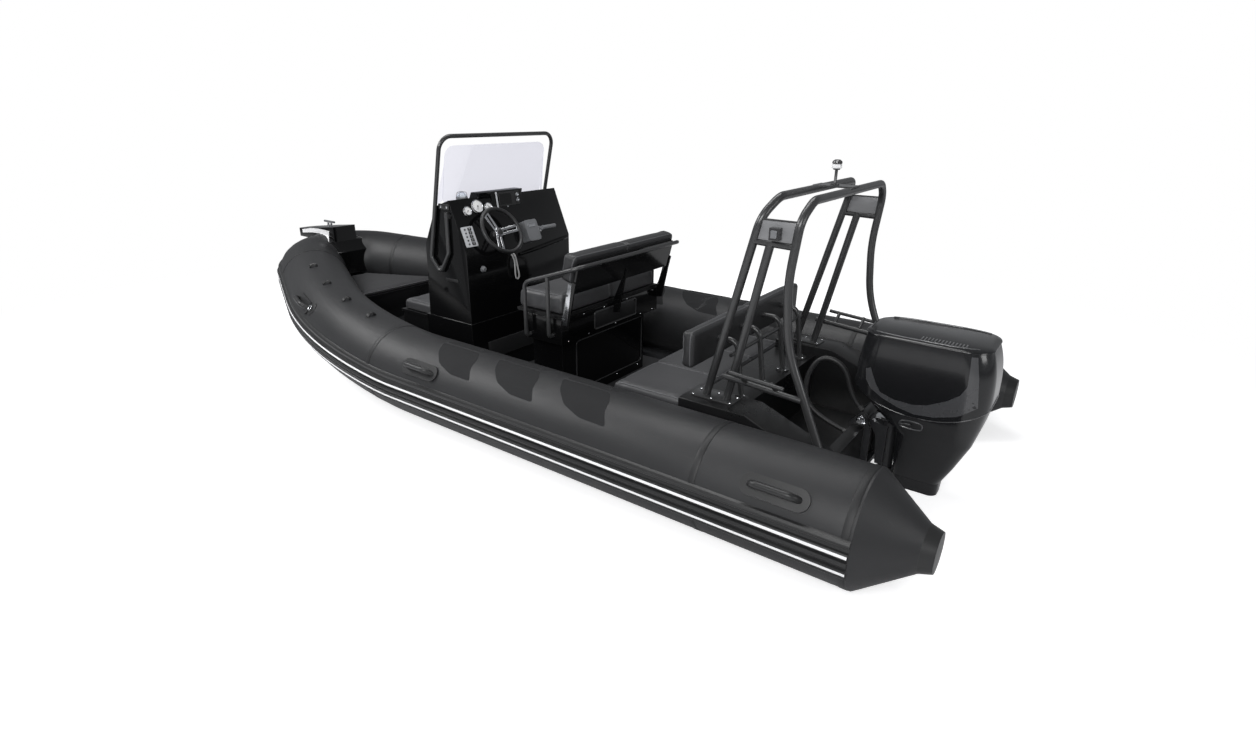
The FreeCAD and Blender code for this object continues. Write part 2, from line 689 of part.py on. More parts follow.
def make_bow(collar):
    outer = slab("locker_outer", "XY", bow_outline("locker_face", "locker_nose", "0"),
                 "locker_top - locker_floor", "locker_top/2 + locker_floor/2")
    inner = slab("locker_inner", "XY",
                 bow_outline("locker_face + locker_wall", "locker_nose - locker_wall", "locker_wall + 6"),
                 "locker_top", "locker_top/2 + locker_floor + locker_wall")
    piece(cut("bow_locker", outer, inner, collar), "bow_locker")
    piece(slab("bow_lid", "XY", bow_outline("locker_face - 8", "locker_nose", "0", "lid_half", "lid_nose_half"),
               "lid_depth", "locker_top + lid_depth/2 + seam"), "bow_lid")
    piece(slab("bow_pad", "XY", bow_outline("locker_face + 4", "locker_nose - 8", "6", "lid_half", "lid_nose_half"),
               "pad_depth", "locker_top + lid_depth + pad_depth/2 + 2*seam"), "bow_pad")
    profile = (
        ("locker_nose + step_gap", "throat_level - 40"),
        ("locker_nose + step_gap", "step_top_aft"),
        ("locker_nose + step_gap + 240", "step_top_aft - 26"),
        ("step_nose", "step_top_nose"),
        ("step_nose", "step_top_nose - step_lip/2"),
        ("step_nose - 60", "step_top_nose - step_lip"),
        ("step_nose - 260", "step_top_nose - step_lip"),
        ("locker_nose + step_gap + 190", "throat_level - 40"),
    )
    side_view = slab("step_side", "XZ", profile, "2*step_half")
    plan = slab("step_plan", "XY", (
        ("locker_nose + step_gap", "step_half"),
        ("locker_nose + step_gap + 300", "step_half - 12"),
        ("step_nose - 70", "step_nose_half"),
        ("step_nose", "step_nose_half/2"),
        ("step_nose", "-step_nose_half/2"),
        ("step_nose - 70", "-step_nose_half"),
        ("locker_nose + step_gap + 300", "-step_half + 12"),
        ("locker_nose + step_gap", "-step_half"),
    ), "2*step_top_aft", "step_top_aft")
    moulding = doc.addObject("Part::Common", "step_block")
    moulding.Base = side_view
    moulding.Tool = plan
    throat = slab("step_throat", "XZ", (
        ("locker_nose + 15", "step_floor"),
        ("locker_nose + 28", "throat_level - 80"),
        ("locker_nose + step_gap", "throat_level"),
        ("locker_nose + step_gap + 200", "throat_level"),
        ("locker_nose + step_gap + 200", "step_floor"),
    ), "2*throat_half")
    step = piece(cut("bow_step", fuse("step_whole", moulding, throat), collar), "bow_step")
    deck = "step_top_aft - 60"
    stems = [rod(f"cleat_stem_{name}", (f"cleat_place {sign} cleat_stem/2", "0", deck), "cleat_rise + 40", "cleat_bar")
             for name, sign in (("fore", "+"), ("aft", "-"))]
    horns = rod("cleat_horns", ("cleat_place - cleat_span/2", "0", "step_top_aft - 20 + cleat_rise"),
                "cleat_span", "cleat_bar", ALONG_X)
    piece(cut("cleat", fuse("cleat_whole", horns, *stems), step), "bow_cleat")


# ---------------------------------------------------------------- console, windscreen and seat ahead of it

def console_outline(inset, floor):
    slope = f"{inset}/2"
    return (
        (f"console_aft + {inset}", floor),
        (f"console_aft + {inset}", "dash_foot"),
        (f"dash_top + {inset}", f"dash_top_level - {inset}"),
        (f"console_crown - {slope}", f"console_crown_level - {inset}"),
        (f"console_front - {inset}", f"console_front_level - {slope}"),
        (f"console_toe - {inset}", floor),
    )


def make_console():
    """A hollow moulding with a step round its foot, and the seat that stands against its front."""
    outer = slab("console_outer", "XZ", console_outline("0", "sole_level"), "2*console_half")
    inner = slab("console_inner", "XZ", console_outline("console_wall", "sole_level - 20"),
                 "2*console_half - 2*console_wall")
    plinth = box("console_plinth", ("console_aft - plinth_out", "-console_half - plinth_out", "sole_level"),
                 ("console_toe - console_aft + 2*plinth_out", "2*console_half + 2*plinth_out",
                  "plinth_level - sole_level"))
    pod = slab("plotter_pod", "XZ", (
        ("dash_top - 37", "dash_top_level - 90"),
        ("dash_top - 18", "hood_level"),
        ("dash_top + 60", "hood_level"),
        ("dash_top + 92", "dash_top_level - 36"),
    ), "pod_port - pod_starboard", "pod_port/2 + pod_starboard/2")
    lip = slab("dash_hood", "XZ", (
        ("dash_top - 7", "dash_top_level - 16"),
        ("dash_top - 18", "hood_level"),
        ("dash_top + 60", "hood_level"),
        ("dash_top + 92", "dash_top_level - 36"),
    ), "hood_port - hood_starboard", "hood_port/2 + hood_starboard/2")
    outer = fuse("console_hooded", outer, pod, lip)
    body = fuse("console_body", outer, plinth)
    piece(cut("console", body, inner), "console_shell")
    plate = (
        ("console_aft - plinth_out", "kick_low"),
        ("console_aft - plinth_out", "kick_high"),
        ("console_aft - plinth_out - 14", "kick_high"),
        ("console_aft - plinth_out - kick_depth", "kick_low"),
    )
    piece(slab("kick_plate", "XZ", plate, "2*kick_half"), "console_kick_plate")
    seat_aft = "console_toe + plinth_out + seam"
    seat_box = box("front_seat_outer", (seat_aft, "-front_seat_half", "sole_level"),
                   ("front_seat_end - console_toe - plinth_out", "2*front_seat_half", "front_seat_top - sole_level"))
    seat_room = box("front_seat_room", (f"{seat_aft} + box_wall", "-front_seat_half + box_wall",
                                        "sole_level + box_wall"),
                    ("front_seat_end - console_toe - plinth_out - 2*box_wall",
                     "2*front_seat_half - 2*box_wall", "front_seat_top"))
    piece(cut("front_seat_box", seat_box, seat_room), "front_seat_box")
    lid_aft = f"{seat_aft} + gap"
    lid_length = "front_seat_end - console_toe - plinth_out - gap + 6"
    piece(box("front_lid", (lid_aft, "-front_seat_half - 6", "front_seat_top + seam"),
              (lid_length, "2*front_seat_half + 12", "lid_depth")), "front_seat_lid")
    piece(box("front_cushion", (lid_aft, "-front_seat_half", "front_seat_top + lid_depth + 2*seam"),
              (lid_length, "2*front_seat_half", "front_pad")), "front_seat_cushion")
    return outer


RAIL_LEG = (
    # station, level: a leg of the windscreen rail, from its aft end round the loop and up to the top bar
    ("dash_top + 10", "rail_foot_level + 397"),
    ("dash_top + 18", "rail_foot_level + 137"),
    ("dash_top + 110", "rail_foot_level"),
    ("dash_top + 192", "rail_foot_level + 94"),
    ("screen_top - 24", "rail_top_level"),
)
RAIL_PADS = (
    # station, level: where the rail's legs are bolted to the console's sides
    ("dash_top + 12", "rail_foot_level + 372"),
    ("dash_top + 110", "rail_foot_level + 24"),
)


def make_screen(console):
    """A raked pane with round upper corners; short wings turn forward along the console's shoulders."""
    foot = point("screen_foot", "0", "console_crown_level - 10")
    top = point("screen_top", "0", "screen_top_level")
    rise = top - foot
    up = Vector(rise).normalize()
    face_normal = PORT.cross(up)
    half = number("screen_half")
    pane = rounded_outline(foot + rise * 0.5, half, rise.Length / 2, 70, PORT, up)
    sheet_solid = Part.Face(pane).extrude(face_normal * number("screen_depth"))
    piece(cut("screen", solid("screen_pane", sheet_solid), console), "windscreen")
    side = number("rail_half")
    spots = []
    for sign in (1, -1):
        leg = [Vector(number(station), sign * side, number(level)) for station, level in RAIL_LEG]
        spots += leg if sign > 0 else leg[::-1]
    radii = [30, 26, 30, 85, 85, 30, 26, 30]
    rail = tube("screen_rail_tube", spots, radii, "rail_radius")
    pads = []
    for station, level in RAIL_PADS:
        start = point(station, "-rail_half", level)
        pads.append(Part.makeCylinder(number("rail_radius + 9"), 2 * side, start, PORT))
    bars = solid("screen_rail_pads", Part.makeCompound(pads))
    piece(fuse("screen_rail", rail, cut("screen_rail_feet", bars, console)), "windscreen_rail")


GAUGES = (
    # side, distance up the dash from its foot, radius of the rim
    (374, 265, 28),
    (284, 286, 41),
    (193, 273, 28),
)


def make_helm(console):
    """Steering wheel on its raked shaft, gauges, compass, switch panel and throttle box."""
    tilt = math.radians(number("wheel_tilt"))
    axis = Vector(-math.cos(tilt), 0, math.sin(tilt))
    centre = point("wheel_station", "wheel_side", "wheel_level")
    turn = Rotation(UP, axis)
    rim = doc.addObject("Part::Torus", "wheel_rim")
    bind(rim, "Radius1", "wheel_radius")
    bind(rim, "Radius2", "wheel_grip")
    hub = doc.addObject("Part::Cylinder", "wheel_hub")
    bind(hub, "Radius", "wheel_grip*2")
    bind(hub, "Height", "wheel_dish/2")
    bind(hub, "Placement.Base.z", "-wheel_dish")
    shaft = doc.addObject("Part::Cylinder", "wheel_shaft_bar")
    bind(shaft, "Radius", "wheel_shaft")
    bind(shaft, "Height", "bezel_face - wheel_dish - seam + 4")
    bind(shaft, "Placement.Base.z", "seam - bezel_face")
    spokes = []
    for count in range(3):
        angle = math.radians(30 + 120 * count)
        out = Vector(math.cos(angle), math.sin(angle), 0)
        root = Vector(0, 0, -number("wheel_dish") * 0.75)
        end = out * number("wheel_radius")
        across = out.cross(UP)
        corners = (root + across * 15, end + across * 11, end - across * 11, root - across * 15)
        face = Part.Face(outline(list(corners)))
        spokes.append(solid(f"wheel_spoke_{count}", face.extrude(out.cross(across).normalize() * 6)))
    wheel = fuse("wheel_parts", rim, hub, shaft, *spokes)
    wheel.Placement = Placement(centre, turn)
    piece(wheel, "steering_wheel")
    bezel = doc.addObject("Part::Cylinder", "steering_bezel_block")
    bind(bezel, "Radius", "wheel_shaft + 22")
    bind(bezel, "Height", "60")
    bezel.Placement = Placement(centre - axis * (number("bezel_face") + 60), turn)
    piece(cut("steering_bezel", bezel, console), "steering_bezel")
    dash_low = point("console_aft", "0", "dash_foot")
    dash_high = point("dash_top", "0", "dash_top_level")
    slope = (dash_high - dash_low).normalize()
    out = PORT.cross(slope) * -1
    if out.x > 0:
        out = out * -1
    gauges = []
    for side, rise, radius in GAUGES:
        spot = dash_low + slope * rise + PORT * side
        gauges.append(Part.makeCylinder(radius, number("gauge_depth"), spot, out))
    piece(solid("gauges", Part.makeCompound(gauges)), "gauges")
    panel_spot = dash_low + slope * number("switch_rise") + PORT * number("switch_side")
    panel = rounded_outline(panel_spot, number("switch_half"), number("switch_tall"), 6, PORT, slope)
    piece(solid("switch_panel", Part.Face(panel).extrude(out * 8)), "switch_panel")
    dome_spot = point("dash_top + 42", "compass_side", "dash_top_level")
    radius = number("compass_radius")
    dome = Part.makeCylinder(radius, 70, Vector(0, 0, -60), UP)
    for low, high, wide, narrow in ((10, 28, 1.0, 0.8), (28, 40, 0.8, 0.4)):
        dome = dome.fuse(Part.makeCone(radius * wide, radius * narrow, high - low, Vector(0, 0, low), UP))
    dome.translate(dome_spot)
    piece(cut("compass", solid("compass_whole", dome), console), "compass")
    control_spot = dash_low + slope * number("control_rise") + PORT * number("control_side")
    half = number("control_half")
    housing = Part.Face(rounded_outline(control_spot, half, number("control_tall"), 18, PORT, slope))
    housing = housing.extrude(out * number("control_depth"))
    lever = Part.makeCylinder(22, 40, control_spot + out * (number("control_depth") - 26) - PORT * (half - 5), -PORT)
    arm_foot = control_spot + out * (number("control_depth") - 26) - PORT * (half + 24)
    arm = Part.makeCylinder(9, 46, arm_foot, out)
    grip = Part.makeCylinder(14, 132, arm_foot + out * 46 + PORT * 14, -PORT)
    piece(solid("throttle", housing.fuse([lever, arm, grip]).removeSplitter()), "throttle_control")


# ---------------------------------------------------------------- helm seat

def make_helm_seat():
    """A box that overhangs its foot, with a hinged cushion, a back on three plates and a grab rail round it."""
    upper = box("helm_box_upper", ("helm_box_aft", "-helm_half", "helm_foot_top"),
                ("helm_box_front - helm_box_aft", "2*helm_half", "helm_box_top - helm_foot_top"))
    foot = box("helm_box_foot", ("helm_foot_aft", "-helm_foot_half", "sole_level"),
               ("helm_box_front - helm_foot_aft", "2*helm_foot_half", "helm_foot_top - sole_level"))
    upper_room = box("helm_upper_room", ("helm_box_aft + box_wall", "-helm_half + box_wall",
                                         "helm_foot_top + box_wall"),
                     ("helm_box_front - helm_box_aft - 2*box_wall", "2*helm_half - 2*box_wall", "helm_box_top"))
    foot_room = box("helm_foot_room", ("helm_foot_aft + box_wall", "-helm_foot_half + box_wall",
                                       "sole_level + box_wall"),
                    ("helm_box_front - helm_foot_aft - 2*box_wall", "2*helm_foot_half - 2*box_wall",
                     "helm_box_top"))
    outer = fuse("helm_box_outer", upper, foot)
    piece(cut("helm_box", outer, upper_room, foot_room), "helm_seat_box")
    piece(box("helm_lid", ("helm_box_aft + gap", "-helm_half", "helm_box_top + seam"),
              ("helm_pad_front - helm_box_aft - gap - 20", "2*helm_half", "lid_depth")), "helm_seat_lid")
    piece(box("helm_pad_block", ("helm_box_aft + gap", "-helm_pad_half", "helm_box_top + lid_depth + 2*seam"),
              ("helm_pad_front - helm_box_aft - gap", "2*helm_pad_half", "helm_pad")), "helm_seat_cushion")
    lean = math.radians(number("back_lean"))
    up = Vector(-math.sin(lean), 0, math.cos(lean))
    aft = Vector(-math.cos(lean), 0, -math.sin(lean))
    middle = point("back_front", "0", "back_low/2 + back_high/2")
    rise = number("back_high/2 - back_low/2")
    pad = Part.Face(rounded_outline(middle, number("back_half"), rise, 30, PORT, up)).extrude(aft * number("back_depth"))
    piece(solid("helm_back", pad), "helm_back_pad")
    plate = number("back_plate")
    back = middle + aft * number("back_depth + seam")
    panel = Part.Face(rounded_outline(back - up * number("panel_drop"), number("back_half - 30"), rise, 12, PORT, up))
    panel = panel.extrude(aft * plate)
    low = number("panel_drop") + rise
    box_aft = number("helm_box_aft - seam")
    top = number("helm_box_top")
    thick = number("back_bracket")
    legs = []
    for side in (-1, 0, 1):
        spot = side * number("helm_half - back_bracket") - thick / 2
        corners = (
            Vector(box_aft, 0, top - 70),
            Vector(box_aft, 0, top + 10),
            back - up * low,
            back - up * (low - 70),
            back + aft * (plate + 8) - up * (low - 70),
            back + aft * (plate + 8) - up * (low + 6),
            Vector(box_aft - 44, 0, top - 62),
        )
        legs.append(Part.Face(outline([Vector(c.x, spot, c.z) for c in corners])).extrude(PORT * thick))
    piece(solid("helm_back_frame", panel.fuse(legs).removeSplitter()), "helm_back_frame")
    half = number("helm_rail_half")
    inner = half - 42
    spots = []
    for sign in (1, -1):
        run = [
            Vector(-140, sign * inner, 505),
            Vector(-140, sign * half, 505),
            Vector(-140, sign * half, 830),
            Vector(-548, sign * half, 966),
        ]
        spots += run if sign > 0 else run[::-1]
    hoop_tube = tube("helm_rail_hoop", spots, [18, 55, 70, 70, 55, 18], "helm_rail_radius")
    struts = []
    for sign, name in ((1, "port"), (-1, "starboard")):
        spots = [Vector(-322, sign * inner, 530), Vector(-322, sign * half, 530), Vector(-322, sign * half, 898)]
        struts.append(tube(f"helm_rail_strut_{name}", spots, [18], "helm_rail_radius"))
    piece(cut("helm_rail", fuse("helm_rail_whole", hoop_tube, *struts), outer), "helm_grab_rail")


# ---------------------------------------------------------------- stern bench

def make_bench(well):
    outer = box("bench_outer", ("bench_aft", "-bench_half", "sole_level"),
                ("bench_front - bench_aft", "2*bench_half", "bench_top - sole_level"))
    room = box("bench_room", ("bench_aft + box_wall", "-bench_half + box_wall", "sole_level + box_wall"),
               ("bench_front - bench_aft - 2*box_wall", "2*bench_half - 2*box_wall", "bench_top"))
    piece(cut("bench_box", outer, room), "bench_box")
    piece(box("bench_lid", ("bench_aft + gap", "-bench_half", "bench_top + seam"),
              ("bench_front - bench_aft - gap", "2*bench_half", "lid_depth")), "bench_lid")
    piece(box("bench_cushion_block", ("bench_aft + gap", "-bench_half", "bench_top + lid_depth + 2*seam"),
              ("bench_front - bench_aft - gap", "2*bench_half", "bench_pad")), "bench_cushion")
    middle = point("bench_back_front - bench_back_depth/2", "0", "bench_back_low/2 + bench_back_high/2")
    rise = (number("bench_back_high") - number("bench_back_low")) / 2
    depth = number("bench_back_depth")
    pad = Part.Face(rounded_outline(middle, depth / 2, rise, 24, AHEAD, UP))
    pad = pad.extrude(PORT * 2 * number("bench_back_half"))
    pad.translate(PORT * -number("bench_back_half"))
    piece(solid("bench_back", pad), "bench_back_pad")
    back = number("bench_back_front") - depth
    deck = number("aft_deck_level")
    brackets = []
    for count, side in enumerate((-380, -130, 130, 380)):
        spots = [Vector(back - 0.3, side, 700), Vector(back - 105, side, 700), Vector(back - 150, side, deck + 0.3)]
        arm = tube(f"bench_bracket_{count}", spots, [70], "bracket_radius")
        foot = rod(f"bench_bracket_foot_{count}", (f"bench_back_front - bench_back_depth - 150", f"{side}",
                                                   "aft_deck_level + seam"), "6", "bracket_radius + 22")
        brackets.append(fuse(f"bench_bracket_whole_{count}", arm, foot))
    bar = rod("bench_back_bar", ("bench_back_front - bench_back_depth - 105", "-440", "640"), "880",
              "bracket_radius - 4", ALONG_Y)
    piece(cut("bench_brackets", fuse("bench_brackets_whole", bar, *brackets), well), "bench_brackets")


# ---------------------------------------------------------------- arch

def hoop(name, half_run, radii, radius):
    """A tube that is the same to port and starboard; half_run goes from the port foot to the top."""
    twins = [Vector(spot.x, -spot.y, spot.z) for spot in reversed(half_run)]
    return tube(name, half_run + twins, radii + radii[::-1], radius)


def side_tubes(name, run, radii, radius):
    """A port tube and its starboard twin."""
    twins = [Vector(spot.x, -spot.y, spot.z) for spot in run]
    return [tube(name + "_port", run, radii, radius), tube(name + "_starboard", twins, radii, radius)]


ARCH_FRONT = (
    # station, side, level of the front hoop's port half, from its foot inside the deck to the top bar
    (-1390, 560, 425),
    (-1618, 566, 1350),
    (-1655, 470, 1430),
)
ARCH_REAR = (
    (-2010, 566, 305),
    (-1800, 572, 790),
    (-1772, 572, 1080),
    (-1800, 566, 1352),
    (-1812, 470, 1425),
)
ARCH_MIDDLE = (
    (-1503, 560, 425),
    (-1674, 568, 1243),
)
ARCH_BARS = (
    # the cross bar under the side plate, the step, the hand grip outside it and the grip's two stays
    ("arch_cross", ((-1590, 568, 1243), (-1784, 571, 1236)), "bracket_radius"),
    ("arch_step", ((-1500, 590, 590), (-1892, 584, 560)), "bracket_radius"),
    ("arch_grip", ((-1560, 650, 640), (-1830, 646, 620)), "bracket_radius - 4"),
    ("arch_stay_fore", ((-1620, 588, 582), (-1620, 648, 632)), "bracket_radius - 4"),
    ("arch_stay_aft", ((-1770, 588, 582), (-1770, 648, 632)), "bracket_radius - 4"),
)
ARCH_PLATE = (
    # station, level
    (-1598, 1243),
    (-1628, 1346),
    (-1799, 1346),
    (-1794, 1243),
)


def make_arch(decks):
    """Two hoops raked aft, a middle leg each side, cross bars, side plates and a bridge for the light."""
    front = hoop("arch_front", [Vector(*spot) for spot in ARCH_FRONT], [300, 95], "arch_radius")
    rear = hoop("arch_rear", [Vector(*spot) for spot in ARCH_REAR], [700, 900, 500, 95], "arch_radius")
    middle = side_tubes("arch_middle", [Vector(*spot) for spot in ARCH_MIDDLE], [], "arch_radius")
    rails = []
    for name, run, radius in ARCH_BARS:
        rails += side_tubes(name, [Vector(*spot) for spot in run], [], radius)
    plates = []
    plate = number("arch_plate")
    for sign, name in ((1, "port"), (-1, "starboard")):
        side = sign * number("arch_plate_side") - plate / 2
        face = Part.Face(outline([Vector(station, side, level) for station, level in ARCH_PLATE]))
        plates.append(solid(f"arch_plate_{name}", face.extrude(PORT * plate)))
    length = number("bridge_front - bridge_aft")
    width = number("2*bridge_half")
    corner = point("bridge_aft", "-bridge_half", "bridge_level")
    bridge = solid("arch_bridge", Part.makeBox(length, width, number("bridge_depth"), corner))
    feet = []
    for sign, name in ((1, "port"), (-1, "starboard")):
        for count, (station, side, level) in enumerate((ARCH_FRONT[0], ARCH_MIDDLE[0])):
            spot = Vector(station, sign * side, number("deck_level"))
            feet.append(solid(f"arch_foot_{name}_{count}", Part.makeCylinder(number("arch_foot"), 6, spot, UP)))
    frame = fuse("arch_whole", front, rear, *middle, *plates, *rails, *feet, bridge)
    piece(cut("arch", frame, decks), "arch_frame")
    stem_foot = point("light_station", "0", "bridge_level + bridge_depth + seam")
    stem = Part.makeCylinder(number("light_stem"), number("light_level") - stem_foot.z, stem_foot, UP)
    lamp = Part.makeCylinder(24, 46, point("light_station", "0", "light_level"), UP)
    piece(solid("mast_light", stem.fuse(lamp).removeSplitter()), "mast_light")
    reach = number("arch_plate_side + arch_plate/2 + seam")
    lamps = []
    for side in (reach, -reach - 34):
        lamps.append(Part.makeBox(46, 34, 52, Vector(-1724, side, 1262)))
    piece(solid("side_lights", Part.makeCompound(lamps)), "side_lights")


# ---------------------------------------------------------------- fittings on the collar

def collar_frame(station):
    """The collar's port axis at a station, with its heading, its outboard direction and its up direction."""
    ahead = 1.0
    side, level = collar_at(station)
    next_side, next_level = collar_at(station + ahead)
    heading = Vector(ahead, next_side - side, next_level - level).normalize()
    outboard = UP.cross(heading).normalize()
    return Vector(station, side, level), heading, outboard, heading.cross(outboard)


HANDLE_STATIONS = (-2030, 100, 1480)


def make_handles(collar):
    """Moulded grab handles: an oval base bonded to the collar and a grip that stands off it."""
    port = []
    turn = math.radians(number("handle_turn"))
    for station in HANDLE_STATIONS:
        axis_spot, heading, outboard, up = collar_frame(station)
        out = outboard * math.cos(turn) + up * math.sin(turn)
        across = up * math.cos(turn) - outboard * math.sin(turn)
        seat = axis_spot + out * (number("tube_radius") + number("seam"))
        half = number("handle_span") / 2
        wide = number("handle_width") / 2
        root = seat - out * number("handle_pad")
        base = Part.Face(rounded_outline(root, half, wide, wide - 1, heading, across))
        base = base.extrude(out * 2 * number("handle_pad"))
        bar = number("handle_bar")
        run = [seat - heading * (half - 42), seat - heading * (half - 62) + out * 46,
               seat + heading * (half - 62) + out * 46, seat + heading * (half - 42)]
        path = bent_path(run, [34, 34])
        ring = Part.Wire([Part.Circle(run[0], (run[1] - run[0]).normalize(), bar).toShape()])
        grip = path.makePipeShell([ring], True, False)
        port.append(base.fuse(grip).removeSplitter().cut(collar.Shape))
    piece(solid("handles_port", Part.makeCompound(port)), "handles_port")
    twins = [shape.mirror(Vector(), PORT) for shape in port]
    piece(solid("handles_starboard", Part.makeCompound(twins)), "handles_starboard")


# ---------------------------------------------------------------- outboard engine

def make_brackets():
    """Clamp plates over the transom with the tilt tube, and the swivel bracket that tilts on it."""
    plates = []
    for side, name in ((1, "port"), (-1, "starboard")):
        profile = (
            ("transom_face + transom_depth + 14", "transom_level - 62"),
            ("transom_face + transom_depth + 14", "transom_level + 12"),
            ("tilt_station + 20", "tilt_level + 14"),
            ("tilt_station - 20", "tilt_level + 14"),
            ("transom_face - 34", "transom_level - 30"),
            ("transom_face - 34", "sole_level - 20"),
            ("transom_face - seam", "sole_level - 20"),
            ("transom_face - seam", "transom_level + seam"),
            ("transom_face + transom_depth + seam", "transom_level + seam"),
            ("transom_face + transom_depth + seam", "transom_level - 62"),
        )
        middle = "clamp_inner + clamp_plate/2" if side > 0 else "-clamp_inner - clamp_plate/2"
        plates.append(slab(f"clamp_{name}", "XZ", profile, "clamp_plate", middle))
    pin = rod("tilt_tube", ("tilt_station", "-clamp_inner - clamp_plate - 18", "tilt_level"),
              "2*clamp_inner + 2*clamp_plate + 36", "tilt_pin", ALONG_Y)
    brace = box("clamp_brace", ("transom_face - 30", "-clamp_inner - 4", "sole_level + 6"),
                ("24", "2*clamp_inner + 8", "26"))
    piece(fuse("clamp_bracket", *plates, pin, brace), "clamp_bracket")
    barrel = rod("swivel_barrel", ("tilt_station", "-clamp_inner + gap", "tilt_level"),
                 "2*clamp_inner - 2*gap", "ear_radius", ALONG_Y)
    web = slab("swivel_web", "XZ", (
        ("tilt_station - 8", "tilt_level - 2"),
        ("tilt_station - 24", "steer_top + 8"),
        ("arm_tip - 10", "steer_top - 4"),
        ("steer_station", "steer_top - 16"),
        ("steer_station", "steer_low + 20"),
        ("steer_station + 38", "steer_low + 20"),
        ("transom_face - 48", "transom_level - 60"),
        ("tilt_station - 14", "tilt_level - 22"),
    ), "116")
    post = rod("swivel_tube", ("steer_station", "0", "steer_low"), "steer_top - steer_low", "steer_tube")
    body = fuse("swivel_body", barrel, web, post)
    bore = rod("swivel_bore", ("tilt_station", "-clamp_inner", "tilt_level"), "2*clamp_inner",
               "tilt_pin + seam", ALONG_Y)
    steer_bore = rod("steer_bore", ("steer_station", "0", "steer_low - 5"), "steer_top - steer_low + 10",
                     "kingpin + seam")
    piece(cut("swivel", body, bore, steer_bore), "swivel_bracket")


LOWER_COWL = (
    # level, front, aft end, half width, corner radius
    (565, -1977, -2593, 190, 110),
    (520, -1985, -2588, 188, 110),
    (420, -2090, -2570, 172, 100),
    (320, -2206, -2545, 135, 62),
    (173, -2208, -2485, 98, 50),
    (70, -2210, -2436, 78, 45),
)
UPPER_COWL = (
    (430, -1982, -2594, 190, 110),
    (560, -1978, -2593, 193, 110),
    (700, -1990, -2584, 192, 110),
    (797, -2008, -2556, 184, 108),
)
COWL_CAP = (
    (797.3, -2001, -2563, 190, 112),
    (806, -2003, -2560, 188, 111),
    (813, -2020, -2540, 168, 98),
)
SPLIT_ARC = (
    # station, level of the curve along which the upper cowl meets the lower
    (-1950, 576),
    (-2290, 446),
    (-2630, 566),
)
CROWN = 1000  # above everything on the engine


def level_section(level, front, aft, half, corner, inset=0.0):
    centre = Vector((front + aft) / 2, 0, level)
    return rounded_outline(centre, (front - aft) / 2 - inset, half - inset, corner - inset, AHEAD, PORT)


def lens_section(level, front, aft, half):
    """Two arcs that meet at a leading and a trailing edge, as a leg or a skeg has under water."""
    nose = Vector(front, 0, level)
    tail = Vector(aft, 0, level)
    thickest = front * 0.6 + aft * 0.4
    sides = [Part.Arc(nose, Vector(thickest, half, level), tail).toShape(),
             Part.Arc(tail, Vector(thickest, -half, level), nose).toShape()]
    return Part.Wire(sides)


def above_split(raised):
    """The room above the curve that parts the two cowls, for cutting."""
    first, low, last = [Vector(station, -300, level + raised) for station, level in SPLIT_ARC]
    corners = [last, Vector(last.x, -300, CROWN), Vector(first.x, -300, CROWN), first]
    edges = [Part.Arc(first, low, last).toShape()]
    for start, end in zip(corners, corners[1:]):
        edges.append(Part.LineSegment(start, end).toShape())
    return Part.Face(Part.Wire(edges)).extrude(PORT * 600)


def make_engine():
    wall = number("cowl_wall")
    seam = number("seam")
    lower = Part.makeLoft([level_section(*row) for row in LOWER_COWL], True, True).cut(above_split(0))
    piece(solid("cowl_lower", lower), "cowl_lower")
    outer = Part.makeLoft([level_section(*row) for row in UPPER_COWL], True)
    inside = [row for row in UPPER_COWL[:-1]] + [(UPPER_COWL[-1][0] - wall, *UPPER_COWL[-1][1:])]
    inner = Part.makeLoft([level_section(*row, inset=wall) for row in inside], True)
    piece(solid("cowl_upper", outer.cut(inner).common(above_split(seam))), "cowl_upper")
    cap = Part.makeLoft([level_section(*row) for row in COWL_CAP], True, True)
    piece(solid("cowl_cap", cap), "cowl_cap")
    block = Part.makeBox(370, 250, 310, point("block_aft", "-125", "block_low")).common(above_split(seam))
    piece(solid("powerhead_block", block), "powerhead")
    leg_sections = (
        (LOWER_COWL[-1][0] - seam, *LOWER_COWL[-1][1:]),
        (-60, number("leg_front") - 14, number("leg_aft") + 10, 52, 40),
        (number("plate_level"), number("leg_front") - 22, number("leg_aft") - 110, 34, 30),
    )
    leg = Part.makeLoft([level_section(*row) for row in leg_sections], True, True)
    station = number("steer_station")
    foot_level = number("steer_low - gap - yoke_depth")
    foot = Part.makeBox(90, 56, number("yoke_depth"), Vector(station - 75, -28, foot_level))
    pin_seat = Part.makeCylinder(number("kingpin"), 200, Vector(station, 0, foot_level - 50), UP)
    whole = leg.fuse(foot).cut(pin_seat).removeSplitter()
    piece(solid("midsection", whole), "midsection")
    arm_level = number("steer_top + gap")
    tip = number("arm_tip")
    arm = Part.Face(outline([Vector(tip, -20, arm_level), Vector(tip, 20, arm_level),
                             Vector(station, 34, arm_level), Vector(station - 80, 60, arm_level),
                             Vector(station - 80, -60, arm_level), Vector(station, -34, arm_level)]))
    arm = arm.extrude(UP * number("arm_depth"))
    pin = Part.makeCylinder(number("kingpin"), arm_level - foot_level + number("arm_depth"),
                            Vector(station, 0, foot_level), UP)
    piece(solid("steering_arm", arm.fuse(pin).removeSplitter().cut(lower)), "steering_arm")
    make_gearcase()
    make_propeller()


